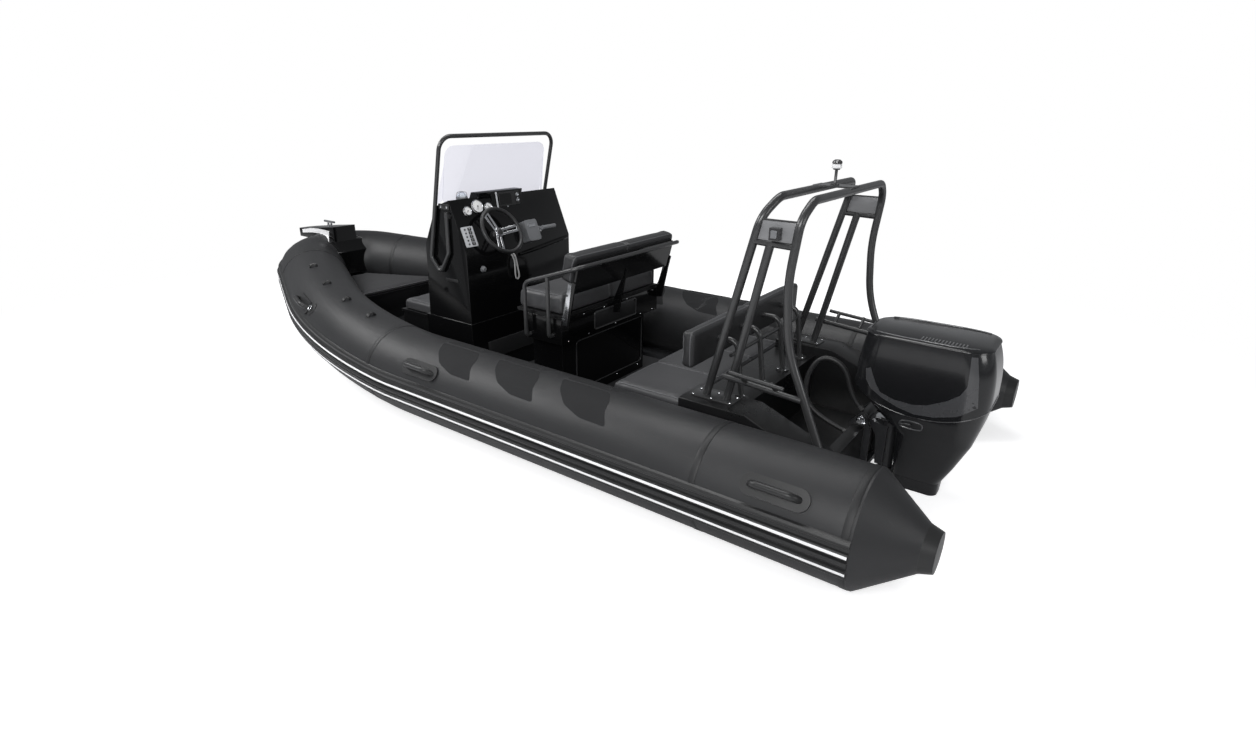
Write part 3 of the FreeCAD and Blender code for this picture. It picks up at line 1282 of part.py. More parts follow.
def make_gearcase():
    level = number("plate_level - plate_depth")
    aft = number("plate_aft")
    half = number("plate_half")
    plate = Part.Face(rounded_outline(Vector((aft - 2215) / 2, 0, level), (-2215 - aft) / 2, half, half - 8,
                                      AHEAD, PORT)).extrude(UP * (number("plate_depth") - 0.3))
    hub = number("hub_level")
    radius = number("bullet_radius")
    tail = number("bullet_aft")
    length = number("bullet_length")
    nose = 110
    waist = tail + length - nose
    barrel = Part.makeCylinder(radius, waist - tail - 60, Vector(tail + 60, 0, hub), AHEAD)
    taper = Part.makeCone(radius * 0.9, radius, 60, Vector(tail, 0, hub), AHEAD)
    ogive = Part.makeCone(radius, radius * 0.72, nose * 0.6, Vector(waist, 0, hub), AHEAD)
    tip = Part.makeCone(radius * 0.72, radius * 0.24, nose * 0.4, Vector(waist + nose * 0.6, 0, hub), AHEAD)
    bullet = barrel.fuse([taper, ogive, tip])
    strut_sections = ((level + 3, -2228, -2470, 34), (hub + radius * 0.5, -2235, -2462, 22))
    strut = Part.makeLoft([lens_section(*row) for row in strut_sections], True)
    skeg_sections = ((hub - radius * 0.6, -2250, tail + 2, 15), (number("skeg_level"), -2428, -2490, 6))
    skeg = Part.makeLoft([lens_section(*row) for row in skeg_sections], True)
    shaft = Part.makeCylinder(number("prop_shaft"), number("prop_length + 2*gap + 12"), Vector(tail, 0, hub), -AHEAD)
    piece(solid("gearcase", bullet.fuse([plate, strut, skeg, shaft])), "gearcase")


BLADE_SECTIONS = (
    # share of the propeller's radius, chord, thickness
    (0.24, 84, 11),
    (0.62, 128, 7),
    (0.90, 104, 4),
    (1.00, 40, 3),
)


def make_propeller():
    hub = number("hub_level")
    front = number("bullet_aft - gap")
    length = number("prop_length")
    middle = front - length / 2
    body = Part.makeCylinder(number("prop_hub"), length, Vector(front, 0, hub), -AHEAD)
    bore = Part.makeCylinder(number("prop_hub") - 10, length * 0.45, Vector(front - length, 0, hub), AHEAD)
    body = body.cut(bore)
    sections = []
    for share, chord, thick in BLADE_SECTIONS:
        radius = share * number("prop_radius")
        angle = math.atan(number("prop_pitch") / (2 * math.pi * radius))
        along = Vector(math.sin(angle), math.cos(angle), 0)
        across = Vector(math.cos(angle), -math.sin(angle), 0)
        centre = Vector(middle, 0, hub + radius)
        sections.append(rounded_outline(centre, chord / 2, thick / 2, thick / 2 - 0.4, along, across))
    blade = Part.makeLoft(sections, True, True)
    count = int(number("prop_blades"))
    blades = []
    for index in range(count):
        turned = blade.copy()
        turned.rotate(Vector(0, 0, hub), AHEAD, index * 360 / count)
        blades.append(turned)
    shaft_bore = Part.makeCylinder(number("prop_shaft + seam"), length + 20, Vector(front + 10, 0, hub), -AHEAD)
    piece(solid("propeller", body.fuse(blades).cut(shaft_bore).removeSplitter()), "propeller")


# ---------------------------------------------------------------- build, check and export

collar = make_collar()
hull = make_hull(collar)
decks, well = make_stern(collar, hull)
make_bow(collar)
console = make_console()
make_screen(console)
make_helm(console)
make_helm_seat()
make_bench(well)
make_arch(decks)
make_handles(collar)
make_brackets()
make_engine()

doc.recompute()
for item in doc.Objects:
    if "Invalid" in item.State or "Error" in item.State:
        raise SystemExit(f"{item.Name} failed: {item.State}")
for item in pieces:
    if item.Shape.isNull() or not item.Shape.isValid():
        raise SystemExit(f"{item.Label} has no valid shape")
for item in pieces:
    item.Shape.exportStep(os.path.join(PARTS_FOLDER, item.Label + ".step"))
    bounds = item.Shape.BoundBox
    print(f"{item.Label:20s} {len(item.Shape.Solids)} solids {item.Shape.Volume / 1e6:9.2f} dm3 "
          f"x {bounds.XMin:.0f}..{bounds.XMax:.0f} y {bounds.YMin:.0f}..{bounds.YMax:.0f} "
          f"z {bounds.ZMin:.0f}..{bounds.ZMax:.0f}")
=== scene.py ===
"""A rigid inflatable boat: finishes, trim, cushions and small fittings round its CAD frame."""

import json
import math

import bpy
from mathutils import Matrix, Vector
from mathutils.bvhtree import BVHTree


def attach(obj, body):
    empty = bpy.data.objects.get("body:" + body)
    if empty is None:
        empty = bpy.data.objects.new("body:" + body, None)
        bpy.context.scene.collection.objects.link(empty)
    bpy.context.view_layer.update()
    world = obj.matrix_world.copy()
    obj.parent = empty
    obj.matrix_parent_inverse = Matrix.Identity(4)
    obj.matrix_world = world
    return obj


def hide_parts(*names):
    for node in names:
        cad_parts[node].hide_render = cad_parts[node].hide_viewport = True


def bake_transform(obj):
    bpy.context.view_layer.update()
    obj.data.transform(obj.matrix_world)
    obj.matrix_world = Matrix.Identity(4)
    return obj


bl_info = {
    "name": "Rigid inflatable boat",
    "version": (1, 0, 0),
    "blender": (4, 5, 0),
    "location": "3D View > Sidebar > Boat",
    "description": "Builds the finishes, cushions and small fittings of a rigid inflatable boat",
    "category": "Object",
}

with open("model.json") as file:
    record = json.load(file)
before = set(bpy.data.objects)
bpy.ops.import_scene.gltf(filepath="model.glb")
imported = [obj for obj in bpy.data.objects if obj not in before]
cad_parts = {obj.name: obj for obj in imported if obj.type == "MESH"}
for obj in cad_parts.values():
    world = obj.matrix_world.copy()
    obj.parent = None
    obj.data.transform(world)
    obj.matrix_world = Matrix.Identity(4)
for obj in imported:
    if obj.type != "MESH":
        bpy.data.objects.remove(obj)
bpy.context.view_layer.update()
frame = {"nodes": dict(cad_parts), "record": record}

# ---------------------------------------------------------------- driving sizes, in metres

TUBE_RADIUS = 0.250
TUBE_SIDE = 0.934
TUBE_LEVEL = 0.263
TUBE_STERN = -2.350
SHEER_START = 0.310
SHEER_RADIUS = 2.200
SHEER_TURN = math.radians(5.6)
FLANK_RADIUS = 3.200
FLANK_TURN = math.radians(24)
NOSE_RADIUS = 0.390

UP = Vector((0, 0, 1))
AHEAD = Vector((1, 0, 0))
PORT = Vector((0, 1, 0))
SIDES = ((1, "port"), (-1, "starboard"))


# ---------------------------------------------------------------- editing helpers

def deselect():
    if bpy.context.object and bpy.context.object.mode != "OBJECT":
        bpy.ops.object.mode_set(mode="OBJECT")
    bpy.ops.object.select_all(action="DESELECT")


def take(item):
    """Make item the one object that is selected and active."""
    deselect()
    item.select_set(True)
    bpy.context.view_layer.objects.active = item
    return item


def settle(item):
    """Put the object's place and turn into its mesh."""
    take(item)
    bpy.ops.object.transform_apply(location=True, rotation=True, scale=True)
    return item


def finish_with(item, kind, **settings):
    """Add a modifier and apply it."""
    take(item)
    modifier = item.modifiers.new(kind.lower(), kind)
    for name, amount in settings.items():
        setattr(modifier, name, amount)
    bpy.ops.object.modifier_apply(modifier=modifier.name)
    return item


def smooth(item, angle=35):
    take(item)
    bpy.ops.object.shade_smooth_by_angle(angle=math.radians(angle))
    return item


def dress(item, body, material):
    """Give a finished piece its body and its material."""
    item.data.materials.clear()
    item.data.materials.append(material)
    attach(item, body)
    return item


def turn_to(along):
    """The rotation that takes +Z to along and keeps +Y near port."""
    along = Vector(along).normalized()
    across = PORT - along * PORT.dot(along)
    across.normalize()
    return Matrix((across.cross(along), across, along)).transposed().to_euler()


def slab(name, middle, half_across, half_up, depth, across, up, corner=0.004, rim=0.001):
    """A plate with round corners: middle of its back face, half sizes along across and up, and its depth."""
    deselect()
    bpy.ops.mesh.primitive_plane_add(size=2)
    item = bpy.context.object
    item.name = name
    item.scale = (half_across, half_up, 1)
    settle(item)
    bpy.ops.object.mode_set(mode="EDIT")
    bpy.ops.mesh.select_all(action="SELECT")
    bpy.ops.mesh.bevel(offset=corner, segments=5, affect="VERTICES")
    bpy.ops.mesh.select_all(action="SELECT")
    bpy.ops.mesh.extrude_region_move(TRANSFORM_OT_translate={"value": (0, 0, depth)})
    bpy.ops.mesh.select_all(action="SELECT")
    bpy.ops.mesh.normals_make_consistent(inside=False)
    bpy.ops.object.mode_set(mode="OBJECT")
    across = Vector(across).normalized()
    up = Vector(up).normalized()
    turn = Matrix((across, up, across.cross(up))).transposed().to_4x4()
    item.matrix_world = Matrix.Translation(Vector(middle)) @ turn
    settle(item)
    if rim:
        finish_with(item, "BEVEL", width=rim, segments=2, limit_method="ANGLE", angle_limit=math.radians(40))
    return smooth(item)


def turned(name, middle, along, rings, sides=32):
    """A lathe-turned piece: rings are (distance along, radius), from its foot to its tip."""
    deselect()
    bpy.ops.mesh.primitive_circle_add(vertices=sides, radius=1, fill_type="NGON")
    item = bpy.context.object
    item.name = name
    start, radius = rings[0]
    item.scale = (radius, radius, 1)
    item.location = (0, 0, start)
    settle(item)
    bpy.ops.object.mode_set(mode="EDIT")
    bpy.ops.mesh.select_all(action="SELECT")
    for (low, before), (high, after) in zip(rings, rings[1:]):
        bpy.ops.mesh.extrude_region_move(TRANSFORM_OT_translate={"value": (0, 0, high - low)})
        share = after / before
        bpy.ops.transform.resize(value=(share, share, 1), center_override=(0, 0, high))
    bpy.ops.mesh.select_all(action="SELECT")
    bpy.ops.mesh.normals_make_consistent(inside=False)
    bpy.ops.object.mode_set(mode="OBJECT")
    item.location = middle
    item.rotation_euler = turn_to(along)
    settle(item)
    return smooth(item, 40)


def rope(name, spots, radius, sides=3, closed=False):
    """A round bar or bead along a smooth line through a few control points."""
    deselect()
    line = bpy.data.curves.new(name, "CURVE")
    line.dimensions = "3D"
    line.bevel_depth = radius
    line.bevel_resolution = sides
    line.use_fill_caps = True
    spline = line.splines.new("NURBS")
    spline.points.add(len(spots) - 1)
    for point, spot in zip(spline.points, spots):
        point.co = (*spot, 1)
    spline.use_cyclic_u = closed
    spline.order_u = 3
    spline.use_endpoint_u = not closed
    item = bpy.data.objects.new(name, line)
    bpy.context.collection.objects.link(item)
    take(item)
    bpy.ops.object.convert(target="MESH")
    return smooth(bpy.context.object)


def join(name, items):
    """One mesh object out of several."""
    deselect()
    for item in items:
        item.select_set(True)
    bpy.context.view_layer.objects.active = items[0]
    if len(items) > 1:
        bpy.ops.object.join()
    items[0].name = name
    return items[0]


def copies(item, offsets):
    """Copies of a piece, each with its own mesh, moved by each offset."""
    twins = []
    for offset in offsets:
        twin = item.copy()
        twin.data = item.data.copy()
        bpy.context.collection.objects.link(twin)
        twin.location = Vector(offset)
        twins.append(settle(twin))
    return twins


def mirrored(item):
    """The piece together with its twin on the other side of the centreline."""
    finish_with(item, "MIRROR", use_axis=(False, True, False), use_mirror_merge=False)
    return item


def from_node(node, name=None):
    """A copy of a CAD node's mesh with its loose triangles merged into faces."""
    source = frame["nodes"][node]
    twin = source.copy()
    twin.data = source.data.copy()
    twin.parent = None
    twin.matrix_world = Matrix.Identity(4)
    twin.name = name or node + "_dressed"
    bpy.context.collection.objects.link(twin)
    take(twin)
    bpy.ops.object.mode_set(mode="EDIT")
    bpy.ops.mesh.select_all(action="SELECT")
    bpy.ops.mesh.remove_doubles(threshold=0.00002)
    bpy.ops.mesh.customdata_custom_splitnormals_clear()
    bpy.ops.mesh.dissolve_limited(angle_limit=math.radians(0.4))
    bpy.ops.object.mode_set(mode="OBJECT")
    return twin


def softened(node, material, bevel=0.003, angle=30, segments=2):
    """Stand in for a CAD node with the same form and its sharp edges rounded."""
    twin = from_node(node)
    finish_with(twin, "BEVEL", width=bevel, segments=segments, limit_method="ANGLE",
                angle_limit=math.radians(angle), use_clamp_overlap=True, harden_normals=False)
    smooth(twin, angle)
    dress(twin, body_of(node), material)
    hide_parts(node)
    return twin


def body_of(node):
    for body, nodes in frame["record"]["behaviour"]["bodies"].items():
        if node in nodes:
            return body
    raise ValueError(f"no body holds {node}")


# ---------------------------------------------------------------- shader helpers

def add_node(tree, kind, inputs=(), **settings):
    """Add a shader node; inputs is a list of (socket, value or output to link)."""
    node = tree.nodes.new(kind)
    for name, amount in settings.items():
        setattr(node, name, amount)
    for socket, amount in inputs:
        if isinstance(amount, bpy.types.NodeSocket):
            tree.links.new(amount, node.inputs[socket])
        else:
            node.inputs[socket].default_value = amount
    return node


def new_group(name, inputs, outputs):
    group = bpy.data.node_groups.new(name, "ShaderNodeTree")
    for socket, kind, default in inputs:
        entry = group.interface.new_socket(name=socket, in_out="INPUT", socket_type=kind)
        if default is not None:
            entry.default_value = default
    for socket, kind in outputs:
        group.interface.new_socket(name=socket, in_out="OUTPUT", socket_type=kind)
    return group, group.nodes.new("NodeGroupInput"), group.nodes.new("NodeGroupOutput")


def weathering_group():
    """Cloudy variation, fine grain and stray scuffs, all on object coordinates."""
    group, source, target = new_group(
        "Weathering",
        (("Cloud size", "NodeSocketFloat", 0.4), ("Grain size", "NodeSocketFloat", 0.002)),
        (("Cloud", "NodeSocketFloat"), ("Grain", "NodeSocketFloat"), ("Scuff", "NodeSocketFloat")),
    )
    place = add_node(group, "ShaderNodeTexCoord")
    cloud_scale = add_node(group, "ShaderNodeMath", ((0, 1.0), (1, source.outputs["Cloud size"])),
                           operation="DIVIDE")
    grain_scale = add_node(group, "ShaderNodeMath", ((0, 1.0), (1, source.outputs["Grain size"])),
                           operation="DIVIDE")
    cloud = add_node(group, "ShaderNodeTexNoise", (
        ("Vector", place.outputs["Object"]), ("Scale", cloud_scale.outputs[0]), ("Detail", 5.0),
        ("Roughness", 0.6)))
    grain = add_node(group, "ShaderNodeTexNoise", (
        ("Vector", place.outputs["Object"]), ("Scale", grain_scale.outputs[0]), ("Detail", 2.0)))
    stretch = add_node(group, "ShaderNodeMapping", (
        ("Vector", place.outputs["Object"]), ("Rotation", (0.4, 0.2, 0.7)), ("Scale", (3.0, 40.0, 9.0))))
    streak = add_node(group, "ShaderNodeTexNoise", (
        ("Vector", stretch.outputs["Vector"]), ("Scale", 2.5), ("Detail", 4.0), ("Distortion", 0.6)))
    scuff = add_node(group, "ShaderNodeMapRange", (
        ("Value", streak.outputs["Fac"]), ("From Min", 0.66), ("From Max", 0.74)))
    group.links.new(cloud.outputs["Fac"], target.inputs["Cloud"])
    group.links.new(grain.outputs["Fac"], target.inputs["Grain"])
    group.links.new(scuff.outputs["Result"], target.inputs["Scuff"])
    return group


def worn_and_highlit_edges_group():
    """A mask of the outer edges of a piece, lightened both as wear and as a painted highlight."""
    group, source, target = new_group(
        "Worn and highlit edges", (("Width", "NodeSocketFloat", 0.003),), (("Edge", "NodeSocketFloat"),))
    soft = add_node(group, "ShaderNodeBevel", (("Radius", source.outputs["Width"]),), samples=4)
    plain = add_node(group, "ShaderNodeNewGeometry")
    same = add_node(group, "ShaderNodeVectorMath", (
        (0, soft.outputs["Normal"]), (1, plain.outputs["Normal"])), operation="DOT_PRODUCT")
    edge = add_node(group, "ShaderNodeMapRange", (
        ("Value", same.outputs["Value"]), ("From Min", 0.99), ("From Max", 0.86)))
    group.links.new(edge.outputs["Result"], target.inputs["Edge"])
    return group


def leather_group():
    """The pebbled height of vinyl: small rounded cells."""
    group, source, target = new_group(
        "Pebbles", (("Cell", "NodeSocketFloat", 0.0016),), (("Height", "NodeSocketFloat"),))
    place = add_node(group, "ShaderNodeTexCoord")
    scale = add_node(group, "ShaderNodeMath", ((0, 1.0), (1, source.outputs["Cell"])), operation="DIVIDE")
    cells = add_node(group, "ShaderNodeTexVoronoi", (
        ("Vector", place.outputs["Object"]), ("Scale", scale.outputs[0])), feature="SMOOTH_F1")
    group.links.new(cells.outputs["Distance"], target.inputs["Height"])
    return group


def weave_group():
    """Crossed threads under a coat, as on coated fabric."""
    group, source, target = new_group(
        "Weave", (("Pitch", "NodeSocketFloat", 0.0011),), (("Height", "NodeSocketFloat"),))
    place = add_node(group, "ShaderNodeTexCoord")
    scale = add_node(group, "ShaderNodeMath", ((0, 0.31), (1, source.outputs["Pitch"])), operation="DIVIDE")
    heights = []
    for direction in ("X", "Z"):
        threads = add_node(group, "ShaderNodeTexWave", (
            ("Vector", place.outputs["Object"]), ("Scale", scale.outputs[0]), ("Distortion", 0.3)),
            bands_direction=direction)
        heights.append(threads.outputs["Fac"])
    cloth = add_node(group, "ShaderNodeMath", ((0, heights[0]), (1, heights[1])), operation="MAXIMUM")
    group.links.new(cloth.outputs[0], target.inputs["Height"])
    return group


groups = {}


def use_group(tree, name, inputs=()):
    node = tree.nodes.new("ShaderNodeGroup")
    node.node_tree = groups[name]
    for socket, amount in inputs:
        node.inputs[socket].default_value = amount
    return node


def surface(name, color, roughness, relief="Weathering", relief_size=0.002, relief_depth=0.0002,
            variation=0.18,
            edge=0.0, edge_width=0.003, metal=0.0, gloss=0.5, coat=0.0, sheen=0.0, scuffs=0.15, cloud=0.4):
    """A material with cloudy variation, a fine relief, edges lightened both as wear and as a painted
    highlight, and stray scuffs.
    """
    material = bpy.data.materials.new(name)
    material.use_nodes = True
    tree = material.node_tree
    tree.nodes.clear()
    weather = use_group(tree, "Weathering", (("Cloud size", cloud), ("Grain size", relief_size)))
    dark = tuple(part * (1 - variation) for part in color)
    light = tuple(min(1.0, part * (1 + variation)) for part in color)
    base = add_node(tree, "ShaderNodeMix", (
        (0, weather.outputs["Cloud"]), (6, (*dark, 1)), (7, (*light, 1))), data_type="RGBA")
    scuffed = tuple(min(1.0, part * 1.25 + 0.012) for part in color)
    scuff_share = add_node(tree, "ShaderNodeMath", ((0, weather.outputs["Scuff"]), (1, scuffs)),
                           operation="MULTIPLY")
    base = add_node(tree, "ShaderNodeMix", (
        (0, scuff_share.outputs[0]), (6, base.outputs[2]), (7, (*scuffed, 1))), data_type="RGBA")
    # Lighter outer edges: partly wear, partly a painted highlight along rounded edges.
    if edge:
        rim = use_group(tree, "Worn and highlit edges", (("Width", edge_width),))
        worn_and_highlit_color = tuple(min(1.0, part * 1.6 + 0.03) for part in color)
        share = add_node(tree, "ShaderNodeMath", ((0, rim.outputs["Edge"]), (1, edge)), operation="MULTIPLY")
        base = add_node(tree, "ShaderNodeMix", (
            (0, share.outputs[0]), (6, base.outputs[2]), (7, (*worn_and_highlit_color, 1))), data_type="RGBA")
    rough = add_node(tree, "ShaderNodeMapRange", (
        ("Value", weather.outputs["Cloud"]), ("From Min", 0.3), ("From Max", 0.7),
        ("To Min", max(0.02, roughness - 0.06)), ("To Max", min(1.0, roughness + 0.06))))
    height = weather.outputs["Grain"]
    if relief == "Pebbles":
        height = use_group(tree, "Pebbles", (("Cell", relief_size),)).outputs["Height"]
    if relief == "Weave":
        height = use_group(tree, "Weave", (("Pitch", relief_size),)).outputs["Height"]
    bump = add_node(tree, "ShaderNodeBump", (("Height", height), ("Distance", relief_depth),
                                             ("Strength", 0.8)))
    shader = add_node(tree, "ShaderNodeBsdfPrincipled", (
        ("Base Color", base.outputs[2]), ("Roughness", rough.outputs["Result"]), ("Metallic", metal),
        ("Specular IOR Level", gloss), ("Coat Weight", coat), ("Coat Roughness", 0.06),
        ("Sheen Weight", sheen), ("Normal", bump.outputs["Normal"])))
    output = add_node(tree, "ShaderNodeOutputMaterial")
    tree.links.new(shader.outputs["BSDF"], output.inputs["Surface"])
    return material


def clear(name, color, roughness=0.03, see_through=0.9):
    """Clear sheet: mostly see-through, with a tint and a reflection that grows at grazing angles."""
    material = bpy.data.materials.new(name)
    material.use_nodes = True
    tree = material.node_tree
    tree.nodes.clear()
    open_air = add_node(tree, "ShaderNodeBsdfTransparent", (("Color", (*color, 1)),))
    skin = add_node(tree, "ShaderNodeBsdfPrincipled", (
        ("Base Color", (*color, 1)), ("Roughness", roughness)))
    edge = add_node(tree, "ShaderNodeFresnel", (("IOR", 1.45),))
    share = add_node(tree, "ShaderNodeMapRange", (
        ("Value", edge.outputs[0]), ("To Min", 1 - see_through), ("To Max", 0.25)))
    mix = add_node(tree, "ShaderNodeMixShader", ((0, share.outputs["Result"]), (1, open_air.outputs[0]),
                                                 (2, skin.outputs[0])))
    output = add_node(tree, "ShaderNodeOutputMaterial")
    tree.links.new(mix.outputs[0], output.inputs["Surface"])
    return material


# ---------------------------------------------------------------- finishes

finishes = {}


def make_finishes(paint):
    """Every material of the boat; paint holds the colours a user may change."""
    for name, build in (("Weathering", weathering_group), ("Worn and highlit edges", worn_and_highlit_edges_group),
                        ("Pebbles", leather_group), ("Weave", weave_group)):
        groups[name] = build()
    fabric = tuple(paint.tube_color)
    trim = tuple(paint.trim_color)
    finishes.update({
        "tube_fabric": surface("Tube fabric", fabric, 0.47, "Weave", 0.0012, 0.00008, 0.16, gloss=0.42,
                               scuffs=0.25, cloud=0.7),
        "seam_tape": surface("Seam tape", tuple(part * 0.72 for part in fabric), 0.5, "Weave", 0.0012,
                             0.00008, 0.15, gloss=0.4),
        "wear_patch": surface("Wear patch", tuple(part * 0.85 for part in fabric), 0.8, "Pebbles", 0.0035,
                              0.0005, 0.12, gloss=0.25, edge=0.3),
        "moulded_rubber": surface("Moulded rubber", (0.014, 0.0142, 0.0147), 0.4, relief_size=0.0015,
                                  relief_depth=0.0001, edge=0.35, gloss=0.45, scuffs=0.3),
        "stripe": surface("White stripe", tuple(paint.stripe_color), 0.45, relief_size=0.0015,
                          relief_depth=0.00008, variation=0.05, scuffs=0.0, gloss=0.4),
        "hull_moulding": surface("Hull gelcoat", (0.03, 0.031, 0.033), 0.2, relief_size=0.004,
                                 relief_depth=0.00005, edge=0.2, coat=0.4),
        "deck_moulding": surface("Deck gelcoat", tuple(paint.moulding_color), 0.3, relief_size=0.0022,
                                 relief_depth=0.00012, edge=0.55, edge_width=0.004, coat=0.15, gloss=0.4),
        "sole_covering": surface("Deck covering", (0.03, 0.0305, 0.032), 0.75, "Pebbles", 0.006, 0.0006, 0.2,
                                 gloss=0.25),
        "gloss_moulding": surface("Gloss gelcoat", tuple(part * 0.55 for part in paint.moulding_color), 0.11,
                                  relief_size=0.005, relief_depth=0.00003, edge=0.6, edge_width=0.004,
                                  coat=0.12, gloss=0.3, variation=0.1, scuffs=0.06),
        "plain_plate": surface("Kick plate", (0.012, 0.0122, 0.0128), 0.4, relief_size=0.003,
                               relief_depth=0.0001, edge=0.5),
        "light_vinyl": surface("Seat vinyl", tuple(paint.seat_color), 0.46, "Pebbles", 0.0022, 0.00022, 0.1,
                               gloss=0.42, sheen=0.04, scuffs=0.1, cloud=0.25),
        "grey_vinyl": surface("Bow pad vinyl", tuple(part * 0.72 for part in paint.seat_color), 0.5,
                              "Pebbles", 0.0022, 0.00022, 0.1, gloss=0.38, sheen=0.04, cloud=0.25),
        "dark_vinyl": surface("Back vinyl", tuple(part * 0.55 for part in paint.seat_color), 0.42, "Pebbles",
                              0.0022, 0.0002, 0.1, gloss=0.45, cloud=0.25),
        "welt": surface("Welt", tuple(min(1, part * 2.2) for part in paint.seat_color), 0.45, "Pebbles",
                        0.001, 0.0001, 0.1, gloss=0.4),
        "tube_paint": surface("Tube paint", trim, 0.33, relief_size=0.0016, relief_depth=0.00006, edge=0.3,
                              coat=0.25, scuffs=0.25),
        "stainless": surface("Stainless steel", (0.62, 0.63, 0.65), 0.16, relief_size=0.0012,
                             relief_depth=0.00003, variation=0.1, metal=1.0, scuffs=0.2),
        "dark_steel": surface("Dark steel", (0.16, 0.165, 0.17), 0.3, relief_size=0.0012,
                              relief_depth=0.00005, variation=0.2, metal=1.0),
        "plate_grey": surface("Painted plate", (0.19, 0.192, 0.198), 0.34, relief_size=0.0014,
                              relief_depth=0.00004, edge=0.3, coat=0.2),
        "clear_pane": clear("Windscreen", (0.93, 0.93, 0.965), 0.03, 0.99),
        "clear_dome": clear("Compass dome", (0.85, 0.88, 0.92), 0.03, 0.75),
        "dial": surface("Dial face", (0.82, 0.82, 0.82), 0.35, relief_depth=0.00002, variation=0.03,
                        scuffs=0.0, coat=0.6),
        "dial_rim": surface("Dial rim", (0.55, 0.56, 0.58), 0.18, relief_depth=0.00002, metal=1.0,
                            scuffs=0.0),
        "ink": surface("Black print", (0.012, 0.012, 0.013), 0.5, relief_depth=0.00002, scuffs=0.0),
        "switch_face": surface("Switch plate", (0.52, 0.53, 0.55), 0.4, relief_size=0.001,
                               relief_depth=0.00005, variation=0.06, scuffs=0.1),
        "rocker": surface("Rocker", (0.016, 0.016, 0.017), 0.38, relief_size=0.001, relief_depth=0.0001,
                          edge=0.4),
        "wheel_rim": surface("Wheel rim", (0.014, 0.0142, 0.015), 0.42, "Pebbles", 0.0018, 0.0002, 0.1,
                             edge=0.2),
        "control_grey": surface("Control casing", (0.15, 0.154, 0.162), 0.32, relief_size=0.0014,
                                relief_depth=0.0001, edge=0.4, coat=0.2),
        "lamp_white": surface("White lamp", (0.85, 0.85, 0.86), 0.2, relief_depth=0.00002, variation=0.03,
                              coat=0.6, scuffs=0.05),
        "lamp_dark": surface("Dark lamp", (0.02, 0.02, 0.021), 0.25, relief_depth=0.00004, coat=0.4,
                             edge=0.4),
        "engine_paint": surface("Engine paint", tuple(paint.engine_color), 0.17, relief_size=0.0009,
                                relief_depth=0.00002, variation=0.1, coat=0.2, gloss=0.4, edge=0.2,
                                scuffs=0.08),
        "engine_grey": surface("Engine grey",
                               tuple(min(1, part * 3.2 + 0.02) for part in paint.engine_color), 0.28,
                               relief_size=0.001, relief_depth=0.00004, variation=0.12, coat=0.4, edge=0.25),
        "engine_cast": surface("Painted casting", (0.016, 0.0165, 0.018), 0.4, relief_size=0.003,
                               relief_depth=0.0003, edge=0.4, coat=0.1),
        "engine_block": surface("Cast block", (0.06, 0.06, 0.065), 0.6, relief_size=0.003,
                                relief_depth=0.0005, metal=0.3),
        "hose": surface("Rigging hose", (0.014, 0.0142, 0.015), 0.5, relief_size=0.002, relief_depth=0.0001,
                        edge=0.2),
        "cord_line": surface("Lanyard", (0.4, 0.4, 0.4), 0.7, "Weave", 0.0009, 0.0002, 0.15, gloss=0.3),
    })


SLOT_OF = {row["node"]: row["material_slot"] for row in frame["record"]["subparts"]}


def finish_nodes():
    """Give each CAD node that stays in view the finish of its slot."""
    for node, item in frame["nodes"].items():
        item.data.materials.clear()
        item.data.materials.append(finishes[SLOT_OF[node]])


# ---------------------------------------------------------------- settings

class BoatSettings(bpy.types.PropertyGroup):
    """Colours and sizes of the boat's trim."""

    tube_color: bpy.props.FloatVectorProperty(
        name="Tube colour", description="Colour of the coated fabric", subtype="COLOR", size=3, min=0, max=1,
        default=(0.0155, 0.0158, 0.017))
    stripe_color: bpy.props.FloatVectorProperty(
        name="Stripe colour", description="Colour of the strake's two stripes", subtype="COLOR", size=3,
        min=0, max=1, default=(0.82, 0.82, 0.83))
    moulding_color: bpy.props.FloatVectorProperty(
        name="Moulding colour", description="Colour of the gelcoat on decks and boxes", subtype="COLOR",
        size=3,
        min=0, max=1, default=(0.0055, 0.0056, 0.006))
    seat_color: bpy.props.FloatVectorProperty(
        name="Seat colour", description="Colour of the seats' vinyl", subtype="COLOR", size=3, min=0, max=1,
        default=(0.040, 0.0405, 0.043))
    trim_color: bpy.props.FloatVectorProperty(
        name="Rail colour", description="Colour of the painted tubes", subtype="COLOR", size=3, min=0, max=1,
        default=(0.028, 0.0285, 0.0295))
    engine_color: bpy.props.FloatVectorProperty(
        name="Engine colour", description="Colour of the engine's cowl", subtype="COLOR", size=3, min=0,
        max=1,
        default=(0.0095, 0.0098, 0.0108))
    stripe_width: bpy.props.FloatProperty(
        name="Stripe width", description="Width of a stripe on the strake", unit="LENGTH", default=0.012)
    patch_depth: bpy.props.FloatProperty(
        name="Patch thickness", description="Thickness of the wear patches", unit="LENGTH", default=0.0012)
    bolt_radius: bpy.props.FloatProperty(
        name="Bolt radius", description="Radius of the heads of deck bolts", unit="LENGTH", default=0.008)
    welt_radius: bpy.props.FloatProperty(
        name="Welt radius", description="Radius of the cushions' piping", unit="LENGTH", default=0.0035)


def settings():
    return bpy.context.scene.boat


# ---------------------------------------------------------------- stage

CAMERA_PLACE = Vector((-2.878, 3.280, 1.777))
CAMERA_HEADING = 215.84
CAMERA_TILT = 68.90
CAMERA_ROLL = 0.61
CAMERA_LENS = 19.215
FLOOR_SIZE = 60.0


class BOAT_OT_stage(bpy.types.Operator):
    """Camera, floor, lights and sky"""

    bl_idname = "boat.stage"
    bl_label = "Stage"

    def execute(self, context):
        make_camera()
        make_floor()
        make_lights()
        context.scene.view_settings.view_transform = "Standard"
        return {"FINISHED"}


